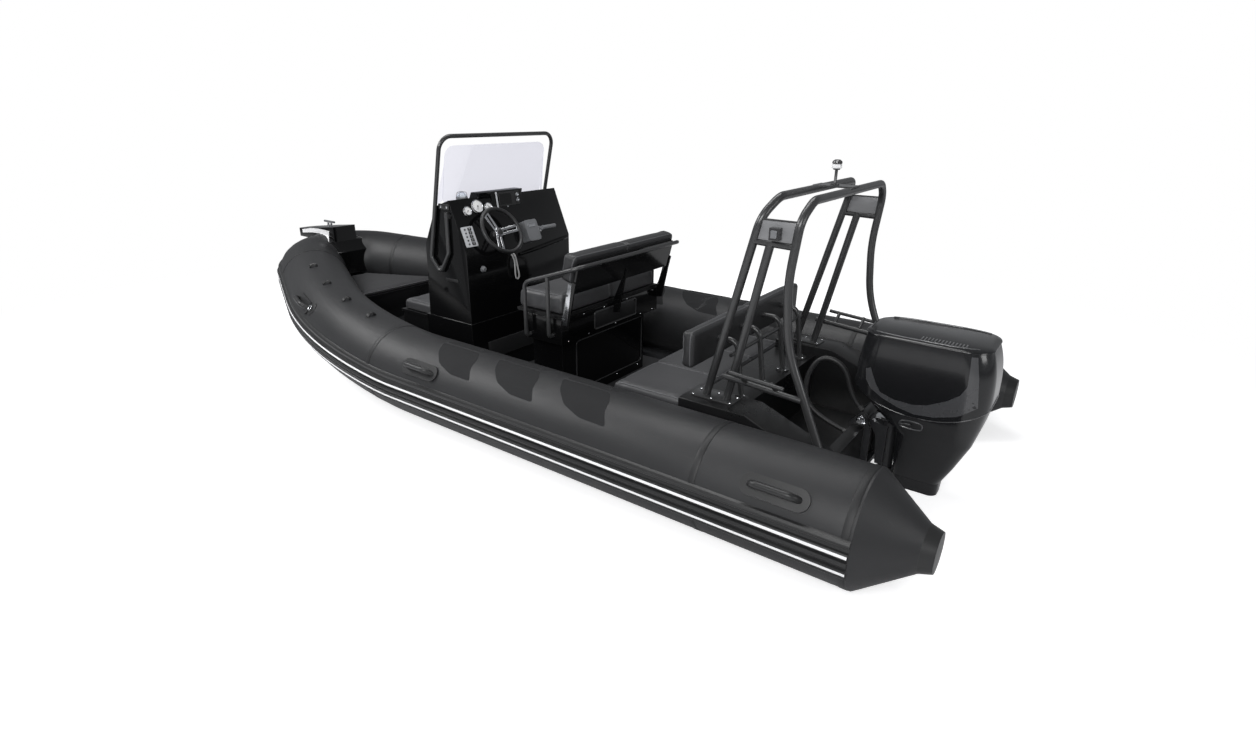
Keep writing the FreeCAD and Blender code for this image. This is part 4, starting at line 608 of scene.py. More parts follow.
def make_camera():
    deselect()
    bpy.ops.object.camera_add()
    camera = bpy.context.object
    camera.data.sensor_width = 36
    camera.data.lens = CAMERA_LENS
    turn = (Matrix.Rotation(math.radians(CAMERA_HEADING), 4, "Z")
            @ Matrix.Rotation(math.radians(CAMERA_TILT), 4, "X")
            @ Matrix.Rotation(math.radians(CAMERA_ROLL), 4, "Z"))
    camera.matrix_world = Matrix.Translation(CAMERA_PLACE) @ turn
    bpy.context.scene.camera = camera


def make_floor():
    """A pale floor at the waterline that fades into the white behind and keeps the shadow."""
    deselect()
    bpy.ops.mesh.primitive_plane_add(size=FLOOR_SIZE)
    floor = bpy.context.object
    floor.name = "floor"
    material = bpy.data.materials.new("Floor")
    material.use_nodes = True
    tree = material.node_tree
    tree.nodes.clear()
    paint = add_node(tree, "ShaderNodeBsdfDiffuse", (("Color", (0.75, 0.75, 0.76, 1)),))
    glow = add_node(tree, "ShaderNodeEmission", (("Strength", 0.62),))
    both = add_node(tree, "ShaderNodeAddShader", ((0, paint.outputs[0]), (1, glow.outputs[0])))
    place = add_node(tree, "ShaderNodeTexCoord")
    far = add_node(tree, "ShaderNodeVectorMath", ((0, place.outputs["Object"]),), operation="LENGTH")
    fade = add_node(tree, "ShaderNodeMapRange", (
        ("Value", far.outputs["Value"]), ("From Min", 3.2), ("From Max", 5.5)),
        interpolation_type="SMOOTHSTEP")
    white = add_node(tree, "ShaderNodeEmission", (("Strength", 1.0),))
    faded = add_node(tree, "ShaderNodeMixShader", (
        (0, fade.outputs["Result"]), (1, both.outputs[0]), (2, white.outputs[0])))
    seen = add_node(tree, "ShaderNodeLightPath")
    mix = add_node(tree, "ShaderNodeMixShader", (
        (0, seen.outputs["Is Camera Ray"]), (1, paint.outputs[0]), (2, faded.outputs[0])))
    output = add_node(tree, "ShaderNodeOutputMaterial")
    tree.links.new(mix.outputs[0], output.inputs["Surface"])
    floor.data.materials.append(material)


LAMPS = (
    # name, place, aim, width, height, watts, share of its light that shines back from glossy parts
    ("key", (-2.5, 6.5, 4.2), (0.0, 0.6, 0.4), 4.0, 2.2, 320, 0.75),
    ("top", (0.5, -0.5, 6.5), (0.0, 0.0, 0.0), 6.0, 2.6, 240, 0.4),
    ("stern", (-8.0, 1.0, 2.6), (-1.5, 0.0, 0.6), 2.4, 2.0, 80, 0.4),
    ("bow", (3.6, 2.7, 4.0), (-0.3, 1.0, 0.4), 3.0, 1.6, 150, 0.45),
)


def make_lights():
    for name, place, aim, width, height, watts, shine in LAMPS:
        deselect()
        bpy.ops.object.light_add(type="AREA", location=place)
        lamp = bpy.context.object
        lamp.name = name
        lamp.data.shape = "RECTANGLE"
        lamp.data.size = width
        lamp.data.size_y = height
        lamp.data.energy = watts
        lamp.data.specular_factor = shine
        lamp.rotation_euler = (Vector(aim) - Vector(place)).to_track_quat("-Z", "Y").to_euler()
    world = bpy.data.worlds.new("Sky")
    bpy.context.scene.world = world
    world.use_nodes = True
    tree = world.node_tree
    tree.nodes.clear()
    seen = add_node(tree, "ShaderNodeLightPath")
    white = add_node(tree, "ShaderNodeBackground", (("Color", (1, 1, 1, 1)), ("Strength", 1.0)))
    place = add_node(tree, "ShaderNodeTexCoord")
    height = add_node(tree, "ShaderNodeSeparateXYZ", (("Vector", place.outputs["Generated"]),))
    rise = add_node(tree, "ShaderNodeMapRange", (
        ("Value", height.outputs["Z"]), ("From Min", -0.1), ("From Max", 0.7), ("To Min", 0.40),
        ("To Max", 0.16)))
    sky = add_node(tree, "ShaderNodeBackground", (
        ("Color", (0.95, 0.97, 1, 1)), ("Strength", rise.outputs["Result"])))
    mix = add_node(tree, "ShaderNodeMixShader", (
        (0, seen.outputs["Is Camera Ray"]), (1, sky.outputs[0]), (2, white.outputs[0])))
    output = add_node(tree, "ShaderNodeOutputWorld")
    tree.links.new(mix.outputs[0], output.inputs["Surface"])


# ---------------------------------------------------------------- the inflatable collar

def collar_stretches():
    """The port half of the collar's axis from stern to nose: (kind, length or radius, turn, axis)."""
    normal = Vector((-math.sin(SHEER_TURN), 0, math.cos(SHEER_TURN)))
    after_flank = TUBE_SIDE - FLANK_RADIUS * (1 - math.cos(FLANK_TURN))
    flat = (after_flank - NOSE_RADIUS * math.cos(FLANK_TURN)) / math.sin(FLANK_TURN)
    return (
        ("line", SHEER_START - TUBE_STERN, 0, None),
        ("arc", SHEER_RADIUS, SHEER_TURN, -PORT),
        ("arc", FLANK_RADIUS, FLANK_TURN, -normal),
        ("line", flat, 0, None),
        ("arc", NOSE_RADIUS, math.pi / 2 - FLANK_TURN, -normal),
    )


def collar_spot(distance, angle=0.0, lift=0.0):
    """A point on the port collar: its place, its heading, the way out of the fabric, and the way round it.

    distance runs along the axis from the stern; angle goes up from the collar's outer side.
    """
    spot = Vector((TUBE_STERN, TUBE_SIDE, TUBE_LEVEL))
    heading = Vector(AHEAD)
    up = Vector(UP)
    left = distance
    for kind, amount, turn, axis in collar_stretches():
        length = amount if kind == "line" else amount * turn
        share = min(1.0, left / length)
        if kind == "line":
            spot = spot + heading * (length * share)
        else:
            centre = spot + axis.cross(heading).normalized() * amount
            turning = Matrix.Rotation(turn * share, 3, axis)
            spot = centre + turning @ (spot - centre)
            heading = turning @ heading
            up = turning @ up
        left -= length * share
        if share < 1.0:
            break
    outboard = up.cross(heading)
    out = outboard * math.cos(angle) + up * math.sin(angle)
    round_it = up * math.cos(angle) - outboard * math.sin(angle)
    return spot + out * (TUBE_RADIUS + lift), heading, out, round_it


STRETCH_STEPS = (1, 4, 22, 1, 24)


def swept_along_collar(name, profile):
    """Carry a section round the whole collar; profile is (angle, lift) pairs at the stern, in order."""
    deselect()
    bpy.ops.mesh.primitive_circle_add(vertices=len(profile), radius=1, fill_type="NOTHING")
    item = bpy.context.object
    item.name = name
    for vertex, (angle, lift) in zip(item.data.vertices, profile):
        vertex.co = collar_spot(0, angle, lift)[0]
    bpy.ops.object.mode_set(mode="EDIT")
    bpy.ops.mesh.select_all(action="SELECT")
    spot = Vector((TUBE_STERN, TUBE_SIDE, TUBE_LEVEL))
    heading = Vector(AHEAD)
    for (kind, amount, turn, axis), steps in zip(collar_stretches(), STRETCH_STEPS):
        if kind == "line":
            bpy.ops.mesh.extrude_edges_move(TRANSFORM_OT_translate={"value": heading * amount})
            spot = spot + heading * amount
            continue
        centre = spot + axis.cross(heading).normalized() * amount
        bpy.ops.mesh.spin(steps=steps, angle=-turn, center=centre, axis=axis)
        turning = Matrix.Rotation(turn, 3, axis)
        spot = centre + turning @ (spot - centre)
        heading = turning @ heading
    bpy.ops.mesh.select_all(action="SELECT")
    bpy.ops.mesh.remove_doubles(threshold=0.0001)
    bpy.ops.object.mode_set(mode="OBJECT")
    finish_with(item, "MIRROR", use_axis=(False, True, False), merge_threshold=0.002)
    bpy.ops.object.mode_set(mode="EDIT")
    bpy.ops.mesh.select_all(action="SELECT")
    bpy.ops.mesh.fill_holes(sides=len(profile))
    bpy.ops.mesh.select_all(action="SELECT")
    bpy.ops.mesh.normals_make_consistent(inside=False)
    bpy.ops.object.mode_set(mode="OBJECT")
    return smooth(item)


STRAKE_ANGLE = -0.9
STRAKE_HALF = 19.0
STRAKE_DEPTH = 0.022
STRAKE_RIBS = (
    # angle of the rib's middle above the strake's, half width in degrees, share of the strake's depth
    (15.0, 3.2, 0.62),
    (5.4, 3.3, 0.94),
    (-2.7, 3.0, 0.80),
    (-10.8, 3.3, 1.0),
    (-16.9, 1.8, 0.72),
)


def strake_profile():
    """The strake's section: five rounded ribs with grooves between them."""
    spots = [(STRAKE_HALF, 0.0)]
    for middle, half, share in STRAKE_RIBS:
        for turn in (1.0, 0.72, 0.0, -0.72, -1.0):
            rise = 0.25 + 0.75 * math.sqrt(max(0.0, 1 - turn * turn))
            spots.append((middle + half * turn, STRAKE_DEPTH * share * rise))
    spots.append((-STRAKE_HALF, 0.0))
    return [(math.radians(angle + STRAKE_ANGLE), lift) for angle, lift in spots]


def band(name, angle, half, lift, thick):
    """A thin strip round the collar between two angles, at a lift off the fabric."""
    low = math.radians(angle - half)
    high = math.radians(angle + half)
    middle = math.radians(angle)
    return swept_along_collar(name, [(low, lift), (middle, lift + thick), (high, lift), (high, lift - thick),
                                     (low, lift - thick)])


class BOAT_OT_strake(bpy.types.Operator):
    """Ribbed rub strake with its two white stripes"""

    bl_idname = "boat.strake"
    bl_label = "Rub strake"

    def execute(self, context):
        strake = swept_along_collar("strake_ribs", strake_profile())
        dress(strake, "hull", finishes["moulded_rubber"])
        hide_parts("rub_strake")
        half = math.degrees(settings().stripe_width / 2 / (TUBE_RADIUS + STRAKE_DEPTH))
        for number, (middle, _, share) in enumerate(STRAKE_RIBS[1:4:2]):
            stripe = band(f"stripe_{number}", STRAKE_ANGLE + middle, half, STRAKE_DEPTH * share, 0.0012)
            dress(stripe, "hull", finishes["stripe"])
        return {"FINISHED"}


PATCH_OUTLINE = (
    # forward of the patch's middle in metres, degrees above the collar's side
    (0.200, 88),
    (0.150, 68),
    (0.075, 52),
    (-0.040, 43),
    (-0.200, 42),
    (-0.155, 58),
    (-0.140, 74),
    (-0.095, 88),
)
PATCH_MIDDLES = (2.265, 1.812, 1.358)


def patch(name, distance, outline, corner=0.02, detail=3):
    """A fabric patch cut to an outline and bonded to the collar."""
    deselect()
    bpy.ops.mesh.primitive_circle_add(vertices=len(outline), radius=1, fill_type="NGON")
    item = bpy.context.object
    item.name = name
    for vertex, (along, angle) in zip(item.data.vertices, outline):
        vertex.co = (along, math.radians(angle) * TUBE_RADIUS, 0)
    bpy.ops.object.mode_set(mode="EDIT")
    bpy.ops.mesh.select_all(action="SELECT")
    bpy.ops.mesh.bevel(offset=corner, segments=4, affect="VERTICES", offset_type="OFFSET")
    bpy.ops.mesh.select_all(action="SELECT")
    bpy.ops.mesh.quads_convert_to_tris()
    bpy.ops.object.mode_set(mode="OBJECT")
    finish_with(item, "SUBSURF", subdivision_type="SIMPLE", levels=detail, render_levels=detail)
    for vertex in item.data.vertices:
        along, around, _ = vertex.co
        vertex.co = collar_spot(distance + along, around / TUBE_RADIUS, 0.0002)[0]
    finish_with(item, "SOLIDIFY", thickness=settings().patch_depth, offset=1)
    bpy.ops.object.mode_set(mode="EDIT")
    bpy.ops.mesh.select_all(action="SELECT")
    bpy.ops.mesh.normals_make_consistent(inside=False)
    bpy.ops.object.mode_set(mode="OBJECT")
    return smooth(item)


class BOAT_OT_patches(bpy.types.Operator):
    """Wear patches on the shoulders of the collar"""

    bl_idname = "boat.patches"
    bl_label = "Wear patches"

    def execute(self, context):
        inboard = [(along, 180 - angle) for along, angle in PATCH_OUTLINE]
        for number, distance in enumerate(PATCH_MIDDLES):
            for side, outline in (("outer", PATCH_OUTLINE), ("inner", inboard)):
                piece = mirrored(patch(f"patch_{side}_{number}", distance, outline))
                dress(piece, "hull", finishes["wear_patch"])
        return {"FINISHED"}


# ---------------------------------------------------------------- cushions

BACK_LEAN = math.radians(14)
BACK_FACE = Vector((math.cos(BACK_LEAN), 0, math.sin(BACK_LEAN)))
CUSHIONS = (
    # node, finish, way its face looks, grid, swell, levels of its welts as shares of its depth,
    # sides of its seams
    ("front_seat_cushion", "light_vinyl", UP, 0.010, 0.012, (0.80,), ()),
    ("helm_seat_cushion", "light_vinyl", UP, 0.012, 0.014, (0.84,), (0.0,)),
    ("bench_cushion", "light_vinyl", UP, 0.015, 0.010, (0.84,), (-0.205, 0.205)),
    ("bow_pad", "grey_vinyl", UP, 0.012, 0.006, (0.5,), ()),
    ("helm_back_pad", "dark_vinyl", BACK_FACE, 0.011, 0.010, (0.14, 0.84), (0.0,)),
    ("bench_back_pad", "dark_vinyl", AHEAD, 0.011, 0.009, (0.22, 0.78), (0.0,)),
)
STEPS = 20


def span(spots, way):
    """The least and greatest distance of some points along a way."""
    along = [spot.dot(way) for spot in spots]
    return min(along), max(along)


def round_corners(item, ways, spare):
    """The four outermost points of a pad's outline, in order round it, and four that lie inside them."""
    first, second = ways
    spots = [vertex.co for vertex in item.data.vertices]
    outer = []
    inner = []
    for one, two in ((1, 1), (-1, 1), (-1, -1), (1, -1)):
        corner = max(spots, key=lambda spot: spot.dot(first) * one + spot.dot(second) * two)
        outer.append(corner.copy())
        inner.append(corner - first * one * spare - second * two * spare)
    return outer, inner


def skin_of(mesh):
    """A tree that finds where a line meets a mesh."""
    return BVHTree.FromPolygons([vertex.co for vertex in mesh.vertices],
                                [face.vertices for face in mesh.polygons])


def node_skin(node):
    return skin_of(frame["nodes"][node].data)


def ring_on_skin(item, outer, inner, way, level, spacing=0.03):
    """Points where a plane across way meets a skin, found from outside it all round."""
    tree = skin_of(item.data)
    outer = [spot + way * (level - spot.dot(way)) for spot in outer]
    inner = [spot + way * (level - spot.dot(way)) for spot in inner]
    spots = []
    for number, corner in enumerate(outer):
        after = outer[(number + 1) % len(outer)]
        steps = max(2, round((after - corner).length / spacing))
        for step in range(steps):
            aim = inner[number].lerp(inner[(number + 1) % len(inner)], step / steps)
            start = corner.lerp(after, step / steps)
            start = start + (start - aim) * 0.6
            place = tree.ray_cast(start, (aim - start).normalized())[0]
            if place:
                spots.append(place)
    return spots


def puff(item, kept, swell):
    """Swell a closed skin by pressure from inside while the kept points stay where they are."""
    holding = item.vertex_groups.new(name="kept")
    holding.add(kept, 1.0, "REPLACE")
    take(item)
    modifier = item.modifiers.new("cloth", "CLOTH")
    cloth = modifier.settings
    cloth.quality = 4
    cloth.vertex_group_mass = "kept"
    cloth.use_pressure = True
    cloth.uniform_pressure_force = 4
    cloth.effector_weights.gravity = 0
    modifier.point_cache.frame_start = 1
    modifier.point_cache.frame_end = STEPS
    for step in range(1, STEPS + 1):
        bpy.context.scene.frame_set(step)
    swollen = item.evaluated_get(bpy.context.evaluated_depsgraph_get()).data
    moves = [after.co - before.co for after, before in zip(swollen.vertices, item.data.vertices)]
    item.modifiers.remove(modifier)
    bpy.context.scene.frame_set(1)
    for vertex, move in zip(item.data.vertices, moves):
        if move.length > 1e-6:
            vertex.co += move.normalized() * swell * (1 - math.exp(-move.length / swell))
    item.vertex_groups.clear()


def press_seam(item, side, width=0.022, depth=0.006):
    """Draw a skin in along the plane of a sewn seam."""
    for vertex in item.data.vertices:
        off = abs(vertex.co.y - side) / width
        if off < 1:
            vertex.co -= vertex.normal * depth * (1 - off * off) ** 2


def cushion(node, finish, face, grid, swell, welts, seams):
    """A stuffed pad in the room of its solid, with its welts and sewn seams on its skin."""
    face = Vector(face)
    up = face.cross(PORT)
    pad = from_node(node, node + "_stuffed")
    spots = [vertex.co.copy() for vertex in pad.data.vertices]
    low, high = span(spots, face)
    middle = sum((way * sum(span(spots, way)) / 2 for way in (PORT, up)), face * low)
    sizes = [span(spots, Vector(way)) for way in (AHEAD, PORT, UP)]
    shares = [1 - swell * 1.5 / (top - foot) for foot, top in sizes]
    bpy.ops.object.mode_set(mode="EDIT")
    bpy.ops.mesh.select_all(action="SELECT")
    bpy.ops.transform.resize(value=shares, center_override=middle)
    bpy.ops.object.mode_set(mode="OBJECT")
    finish_with(pad, "BEVEL", width=min(0.022, (high - low) * 0.3), segments=3, limit_method="ANGLE",
                angle_limit=math.radians(50))
    pad.data.remesh_voxel_size = grid
    bpy.ops.object.voxel_remesh()
    kept = [vertex.index for vertex in pad.data.vertices if vertex.co.dot(face) < low + grid * 0.6]
    puff(pad, kept, swell)
    finish_with(pad, "SUBSURF", levels=1, render_levels=1)
    for side in seams:
        press_seam(pad, side)
    for vertex in pad.data.vertices:
        below = low - vertex.co.dot(face)
        if below > 0:
            vertex.co += face * below
    smooth(pad, 60)
    beads = []
    radius = settings().welt_radius
    outer, inner = round_corners(pad, (PORT, up), min(0.05, (high - low) * 0.8))
    for share in welts:
        ring = ring_on_skin(pad, outer, inner, face, low + (high - low) * share)
        beads.append(rope(node + "_welt", ring, radius, closed=True))
    outer, inner = round_corners(pad, (face, up), (high - low) * 0.4)
    for side in seams:
        ring = ring_on_skin(pad, outer, inner, PORT, side, 0.02)
        beads.append(rope(node + "_seam", ring, radius * 0.8, closed=True))
    dress(pad, body_of(node), finishes[finish])
    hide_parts(node)
    if beads:
        dress(join(node + "_welts", beads), body_of(node), finishes["welt"])


class BOAT_OT_cushions(bpy.types.Operator):
    """Cushions of the seats, the bench and the bow, with their welts"""

    bl_idname = "boat.cushions"
    bl_label = "Cushions"

    def execute(self, context):
        for row in CUSHIONS:
            cushion(*row)
        return {"FINISHED"}


# ---------------------------------------------------------------- rigging hose

HOSE_RADIUS = 0.013
HOSE_ROUTE = (
    (-2.028, 0.066, 0.364),
    (-1.968, 0.072, 0.418),
    (-1.925, 0.086, 0.585),
    (-1.800, 0.104, 0.625),
    (-1.735, 0.118, 0.500),
    (-1.748, 0.130, 0.362),
    (-1.860, 0.142, 0.290),
    (-1.9965, 0.150, 0.262),
)


class BOAT_OT_hose(bpy.types.Operator):
    """Rigging hose between the engine and the hull, with its end nuts"""

    bl_idname = "boat.hose"
    bl_label = "Rigging hose"

    def execute(self, context):
        deselect()
        line = bpy.data.curves.new("rigging_hose", "CURVE")
        line.dimensions = "3D"
        line.resolution_u = 16
        spline = line.splines.new("NURBS")
        spline.points.add(len(HOSE_ROUTE) - 1)
        for point, spot in zip(spline.points, HOSE_ROUTE):
            point.co = (*spot, 1)
        spline.order_u = 3
        spline.use_endpoint_u = True
        hose = bpy.data.objects.new("rigging_hose", line)
        context.collection.objects.link(hose)
        path = [vertex.co.copy() for vertex in hose.to_mesh().vertices]
        hose.to_mesh_clear()
        line.bevel_depth = HOSE_RADIUS
        line.bevel_resolution = 6
        line.use_fill_caps = True
        take(hose)
        bpy.ops.object.convert(target="MESH")
        hose = smooth(context.object)
        hose.data.materials.append(finishes["hose"])
        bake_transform(hose)
        nuts = []
        for end, before in ((0, 1), (-1, -2)):
            way = (Vector(HOSE_ROUTE[before]) - Vector(HOSE_ROUTE[end])).normalized()
            nuts.append(turned("hose_nut", Vector(HOSE_ROUTE[end]) + way * 0.002, way,
                               ((0, 0.019), (0.012, 0.019), (0.014, 0.016), (0.024, 0.016)), 6))
        for nut, body in zip(nuts, ("swivel", "hull")):
            dress(nut, body, finishes["moulded_rubber"])
        return {"FINISHED"}


# ---------------------------------------------------------------- console

DASH_FOOT = Vector((0.398, 0, 0.915))
DASH_UP = Vector((0.132, 0, 0.321)).normalized()
DASH_OUT = DASH_UP.cross(PORT)
POD_FOOT = Vector((0.493, 0, 1.146))
POD_UP = Vector((0.019, 0, 0.116)).normalized()
POD_OUT = POD_UP.cross(PORT)
GAUGES = (
    # side, distance up the dash, radius, angle of the needle above level
    (0.374, 0.265, 0.028, 215),
    (0.284, 0.286, 0.041, 250),
    (0.193, 0.273, 0.028, 120),
)
GAUGE_DEPTH = 0.012
SWITCH_SIDE = 0.424
SWITCH_RISE = 0.105
SWITCH_DEPTH = 0.008


def on_dash(side, rise, lift=0.0):
    return DASH_FOOT + PORT * side + DASH_UP * rise + DASH_OUT * lift


def on_pod(side, rise, lift=0.0):
    return POD_FOOT + PORT * side + POD_UP * rise + POD_OUT * lift


def dash_slab(name, side, rise, half_across, half_up, depth, lift=0.0, **shape):
    return slab(name, on_dash(side, rise, lift), half_across, half_up, depth, -PORT, DASH_UP, **shape)


def pod_slab(name, side, rise, half_across, half_up, depth, lift=0.0, **shape):
    return slab(name, on_pod(side, rise, lift), half_across, half_up, depth, -PORT, POD_UP, **shape)


def pointer(name, centre, out, level, up, degrees, start, end, half, depth):
    """A thin bar on a dial between two distances from its centre, at an angle above level."""
    angle = math.radians(degrees)
    along = level * math.cos(angle) + up * math.sin(angle)
    middle = centre + along * (start + end) / 2
    return slab(name, middle, half, (end - start) / 2, depth, along.cross(out), along, corner=half * 0.5,
                rim=0)


def make_gauge(number, side, rise, radius, needle):
    centre = on_dash(side, rise, GAUGE_DEPTH)
    rim = turned(f"gauge_rim_{number}", on_dash(side, rise, GAUGE_DEPTH - 0.004), DASH_OUT, (
        (0, radius + 0.0005), (0.0015, radius + 0.003), (0.005, radius + 0.003), (0.0075, radius + 0.001),
        (0.0075, radius - 0.0015), (0.0052, radius - 0.003)), 40)
    dress(rim, "hull", finishes["dial_rim"])
    face = turned(f"gauge_face_{number}", centre + DASH_OUT * 0.0005, DASH_OUT, (
        (0, radius - 0.0035), (0.0012, radius - 0.0035), (0.0016, radius - 0.005)), 40)
    dress(face, "hull", finishes["dial"])
    lift = centre + DASH_OUT * 0.0021
    marks = [pointer("needle", lift, DASH_OUT, -PORT, DASH_UP, needle, -radius * 0.15, radius * 0.6, 0.0011,
                     0.001)]
    for turn in range(-40, 221, 26):
        marks.append(pointer("tick", lift, DASH_OUT, -PORT, DASH_UP, turn, radius * 0.68, radius * 0.8,
                             0.0008, 0.0003))
    marks.append(turned("needle_cap", lift, DASH_OUT, ((0, radius * 0.13), (0.002, radius * 0.1)), 16))
    dress(join(f"gauge_marks_{number}", marks), "hull", finishes["ink"])


SWITCH_COUNT = 5
SWITCH_PITCH = 0.0235


def make_switches():
    """A column of rockers with white marks, and a column of small fuses, on the switch plate."""
    rockers = []
    marks = []
    for count in range(SWITCH_COUNT):
        rise = SWITCH_RISE + (count - SWITCH_COUNT // 2) * SWITCH_PITCH
        rockers.append(dash_slab("rocker", SWITCH_SIDE - 0.014, rise, 0.013, 0.0095, 0.004, SWITCH_DEPTH,
                                 corner=0.002))
        marks.append(dash_slab("rocker_mark", SWITCH_SIDE - 0.014, rise + 0.003, 0.005, 0.0012, 0.0005,
                               SWITCH_DEPTH + 0.004, corner=0.0005, rim=0))
        marks.append(dash_slab("rocker_mark", SWITCH_SIDE - 0.010, rise - 0.004, 0.0016, 0.0016, 0.0005,
                               SWITCH_DEPTH + 0.004, corner=0.0008, rim=0))
        rockers.append(turned("fuse", on_dash(SWITCH_SIDE + 0.022, rise, SWITCH_DEPTH), DASH_OUT,
                              ((0, 0.006), (0.003, 0.0058), (0.004, 0.0035)), 16))
    dress(join("rockers", rockers), "hull", finishes["rocker"])
    dress(join("rocker_marks", marks), "hull", finishes["dial"])


def make_plotter():
    """Screen, light bar, socket pair and knob on the pod's face."""
    frame_rim = pod_slab("plotter_frame", 0.016, 0.062, 0.074, 0.046, 0.004, corner=0.006, rim=0.0015)
    dress(frame_rim, "hull", finishes["plain_plate"])
    glass = pod_slab("plotter_glass", 0.030, 0.062, 0.054, 0.036, 0.0012, 0.004, corner=0.002, rim=0)
    dress(glass, "hull", finishes["gloss_moulding"])
    bar = pod_slab("plotter_bar", 0.108, 0.058, 0.0055, 0.054, 0.005, corner=0.002)
    dress(bar, "hull", finishes["switch_face"])
    plate = pod_slab("socket_plate", -0.080, 0.064, 0.020, 0.046, 0.004, corner=0.004)
    dress(plate, "hull", finishes["moulded_rubber"])
    rings = []
    for rise in (0.082, 0.048):
        rings.append(turned("socket", on_pod(-0.080, rise, 0.004), POD_OUT,
                            ((0, 0.0125), (0.003, 0.0125), (0.0042, 0.011), (0.0042, 0.0085),
                             (0.0012, 0.008)), 24))
    rings.append(turned("plotter_knob", on_pod(0.020, 0.012, 0), POD_OUT, (
        (0, 0.006), (0.004, 0.006), (0.005, 0.004)), 16))
    dress(join("sockets", rings), "hull", finishes["dial_rim"])


COMPASS_PLACE = Vector((0.572, 0.343, 1.236))


def make_compass():
    """A compass: flange, clear dome, dark card and a hood over it."""
    base = turned("compass_base", COMPASS_PLACE - UP * 0.026, UP, (
        (0, 0.036), (0.026, 0.0375), (0.031, 0.0375), (0.034, 0.034)), 40)
    dress(base, "hull", finishes["control_grey"])
    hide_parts("compass")
    card = turned("compass_card", COMPASS_PLACE + UP * 0.008, UP, (
        (0, 0.026), (0.007, 0.026), (0.012, 0.006)), 32)
    dress(card, "hull", finishes["dial"])
    deselect()
    bpy.ops.mesh.primitive_uv_sphere_add(segments=32, ring_count=16, radius=0.032,
                                         location=COMPASS_PLACE + UP * 0.007)
    dome = settle(bpy.context.object)
    dome.name = "compass_dome"
    bpy.ops.object.mode_set(mode="EDIT")
    bpy.ops.mesh.select_all(action="SELECT")
    bpy.ops.mesh.bisect(plane_co=COMPASS_PLACE + UP * 0.008, plane_no=UP, clear_inner=True, use_fill=True)
    bpy.ops.object.mode_set(mode="OBJECT")
    dress(smooth(dome), "hull", finishes["clear_dome"])
    hoods = []
    for lean in (-0.012, 0.012):
        spots = [COMPASS_PLACE + Vector((lean, side, rise)) for side, rise in
                 ((0.034, 0.006), (0.033, 0.030), (0.018, 0.0385), (-0.018, 0.0385), (-0.033, 0.030),
                  (-0.034, 0.006))]
        hoods.append(rope("compass_hood", spots, 0.0014))
    dress(join("compass_hood", hoods), "hull", finishes["ink"])


def make_screen_trim():
    """Side wings of the windscreen with their brackets and bolts."""
    for sign, name in SIDES:
        top = Vector((0.590, sign * 0.4475, 1.450))
        aft = Vector((0.630, sign * 0.4505, 1.228))
        foot = Vector((0.655, sign * 0.489, 1.196))
        deselect()
        bpy.ops.mesh.primitive_circle_add(vertices=3, radius=1, fill_type="NGON")
        wing = bpy.context.object
        wing.name = f"screen_wing_{name}"
        for vertex, spot in zip(wing.data.vertices, (top, aft, foot)):
            vertex.co = spot
        finish_with(wing, "SOLIDIFY", thickness=0.005, offset=0)
        dress(smooth(wing), "hull", finishes["clear_pane"])
    plates = []
    bolts = []
    for sign in (1, -1):
        out = PORT * sign
        place = Vector((0.572, sign * 0.4905, 1.196))
        plates.append(slab("screen_bracket", place, 0.050, 0.017, 0.006, -AHEAD * sign, UP, corner=0.008))
        for step in (-0.030, 0.026):
            bolts.append(turned("bracket_bolt", place + AHEAD * step + out * 0.0055, out,
                                ((0, 0.0085), (0.003, 0.008), (0.0045, 0.004)), 20))
    dress(join("screen_brackets", plates), "hull", finishes["moulded_rubber"])
    dress(join("screen_bolts", bolts), "hull", finishes["stainless"])


def make_console_trim():
    """Knob, stop cord, shelf lip and rope slots on the console."""
    knob = turned("console_knob", Vector((0.3985, 0.362, 0.802)), -AHEAD, (
        (0, 0.021), (0.004, 0.021), (0.007, 0.016), (0.018, 0.015), (0.022, 0.011)), 24)
    dress(knob, "hull", finishes["control_grey"])
    lip = rope("shelf_lip", [
        (0.394, 0.030, 0.846), (0.386, -0.10, 0.858), (0.384, -0.26, 0.876), (0.386, -0.42, 0.894),
        (0.394, -0.47, 0.898)], 0.012)
    dress(lip, "hull", finishes["gloss_moulding"])
    cord = rope("stop_cord", [
        (0.395, 0.088, 0.862), (0.368, 0.094, 0.850), (0.352, 0.098, 0.790), (0.352, 0.080, 0.715),
        (0.362, 0.086, 0.688), (0.366, 0.104, 0.700), (0.360, 0.112, 0.760), (0.366, 0.106, 0.830),
        (0.395, 0.104, 0.856)], 0.0055, sides=4)
    dress(cord, "hull", finishes["cord_line"])
    slots = []
    for sign in (1, -1):
        slots.append(slab("rope_slot", Vector((0.554, sign * 0.4903, 0.728)), 0.062, 0.011, 0.004,
                          -AHEAD * sign, UP, corner=0.010))
    dress(join("rope_slots", slots), "hull", finishes["moulded_rubber"])


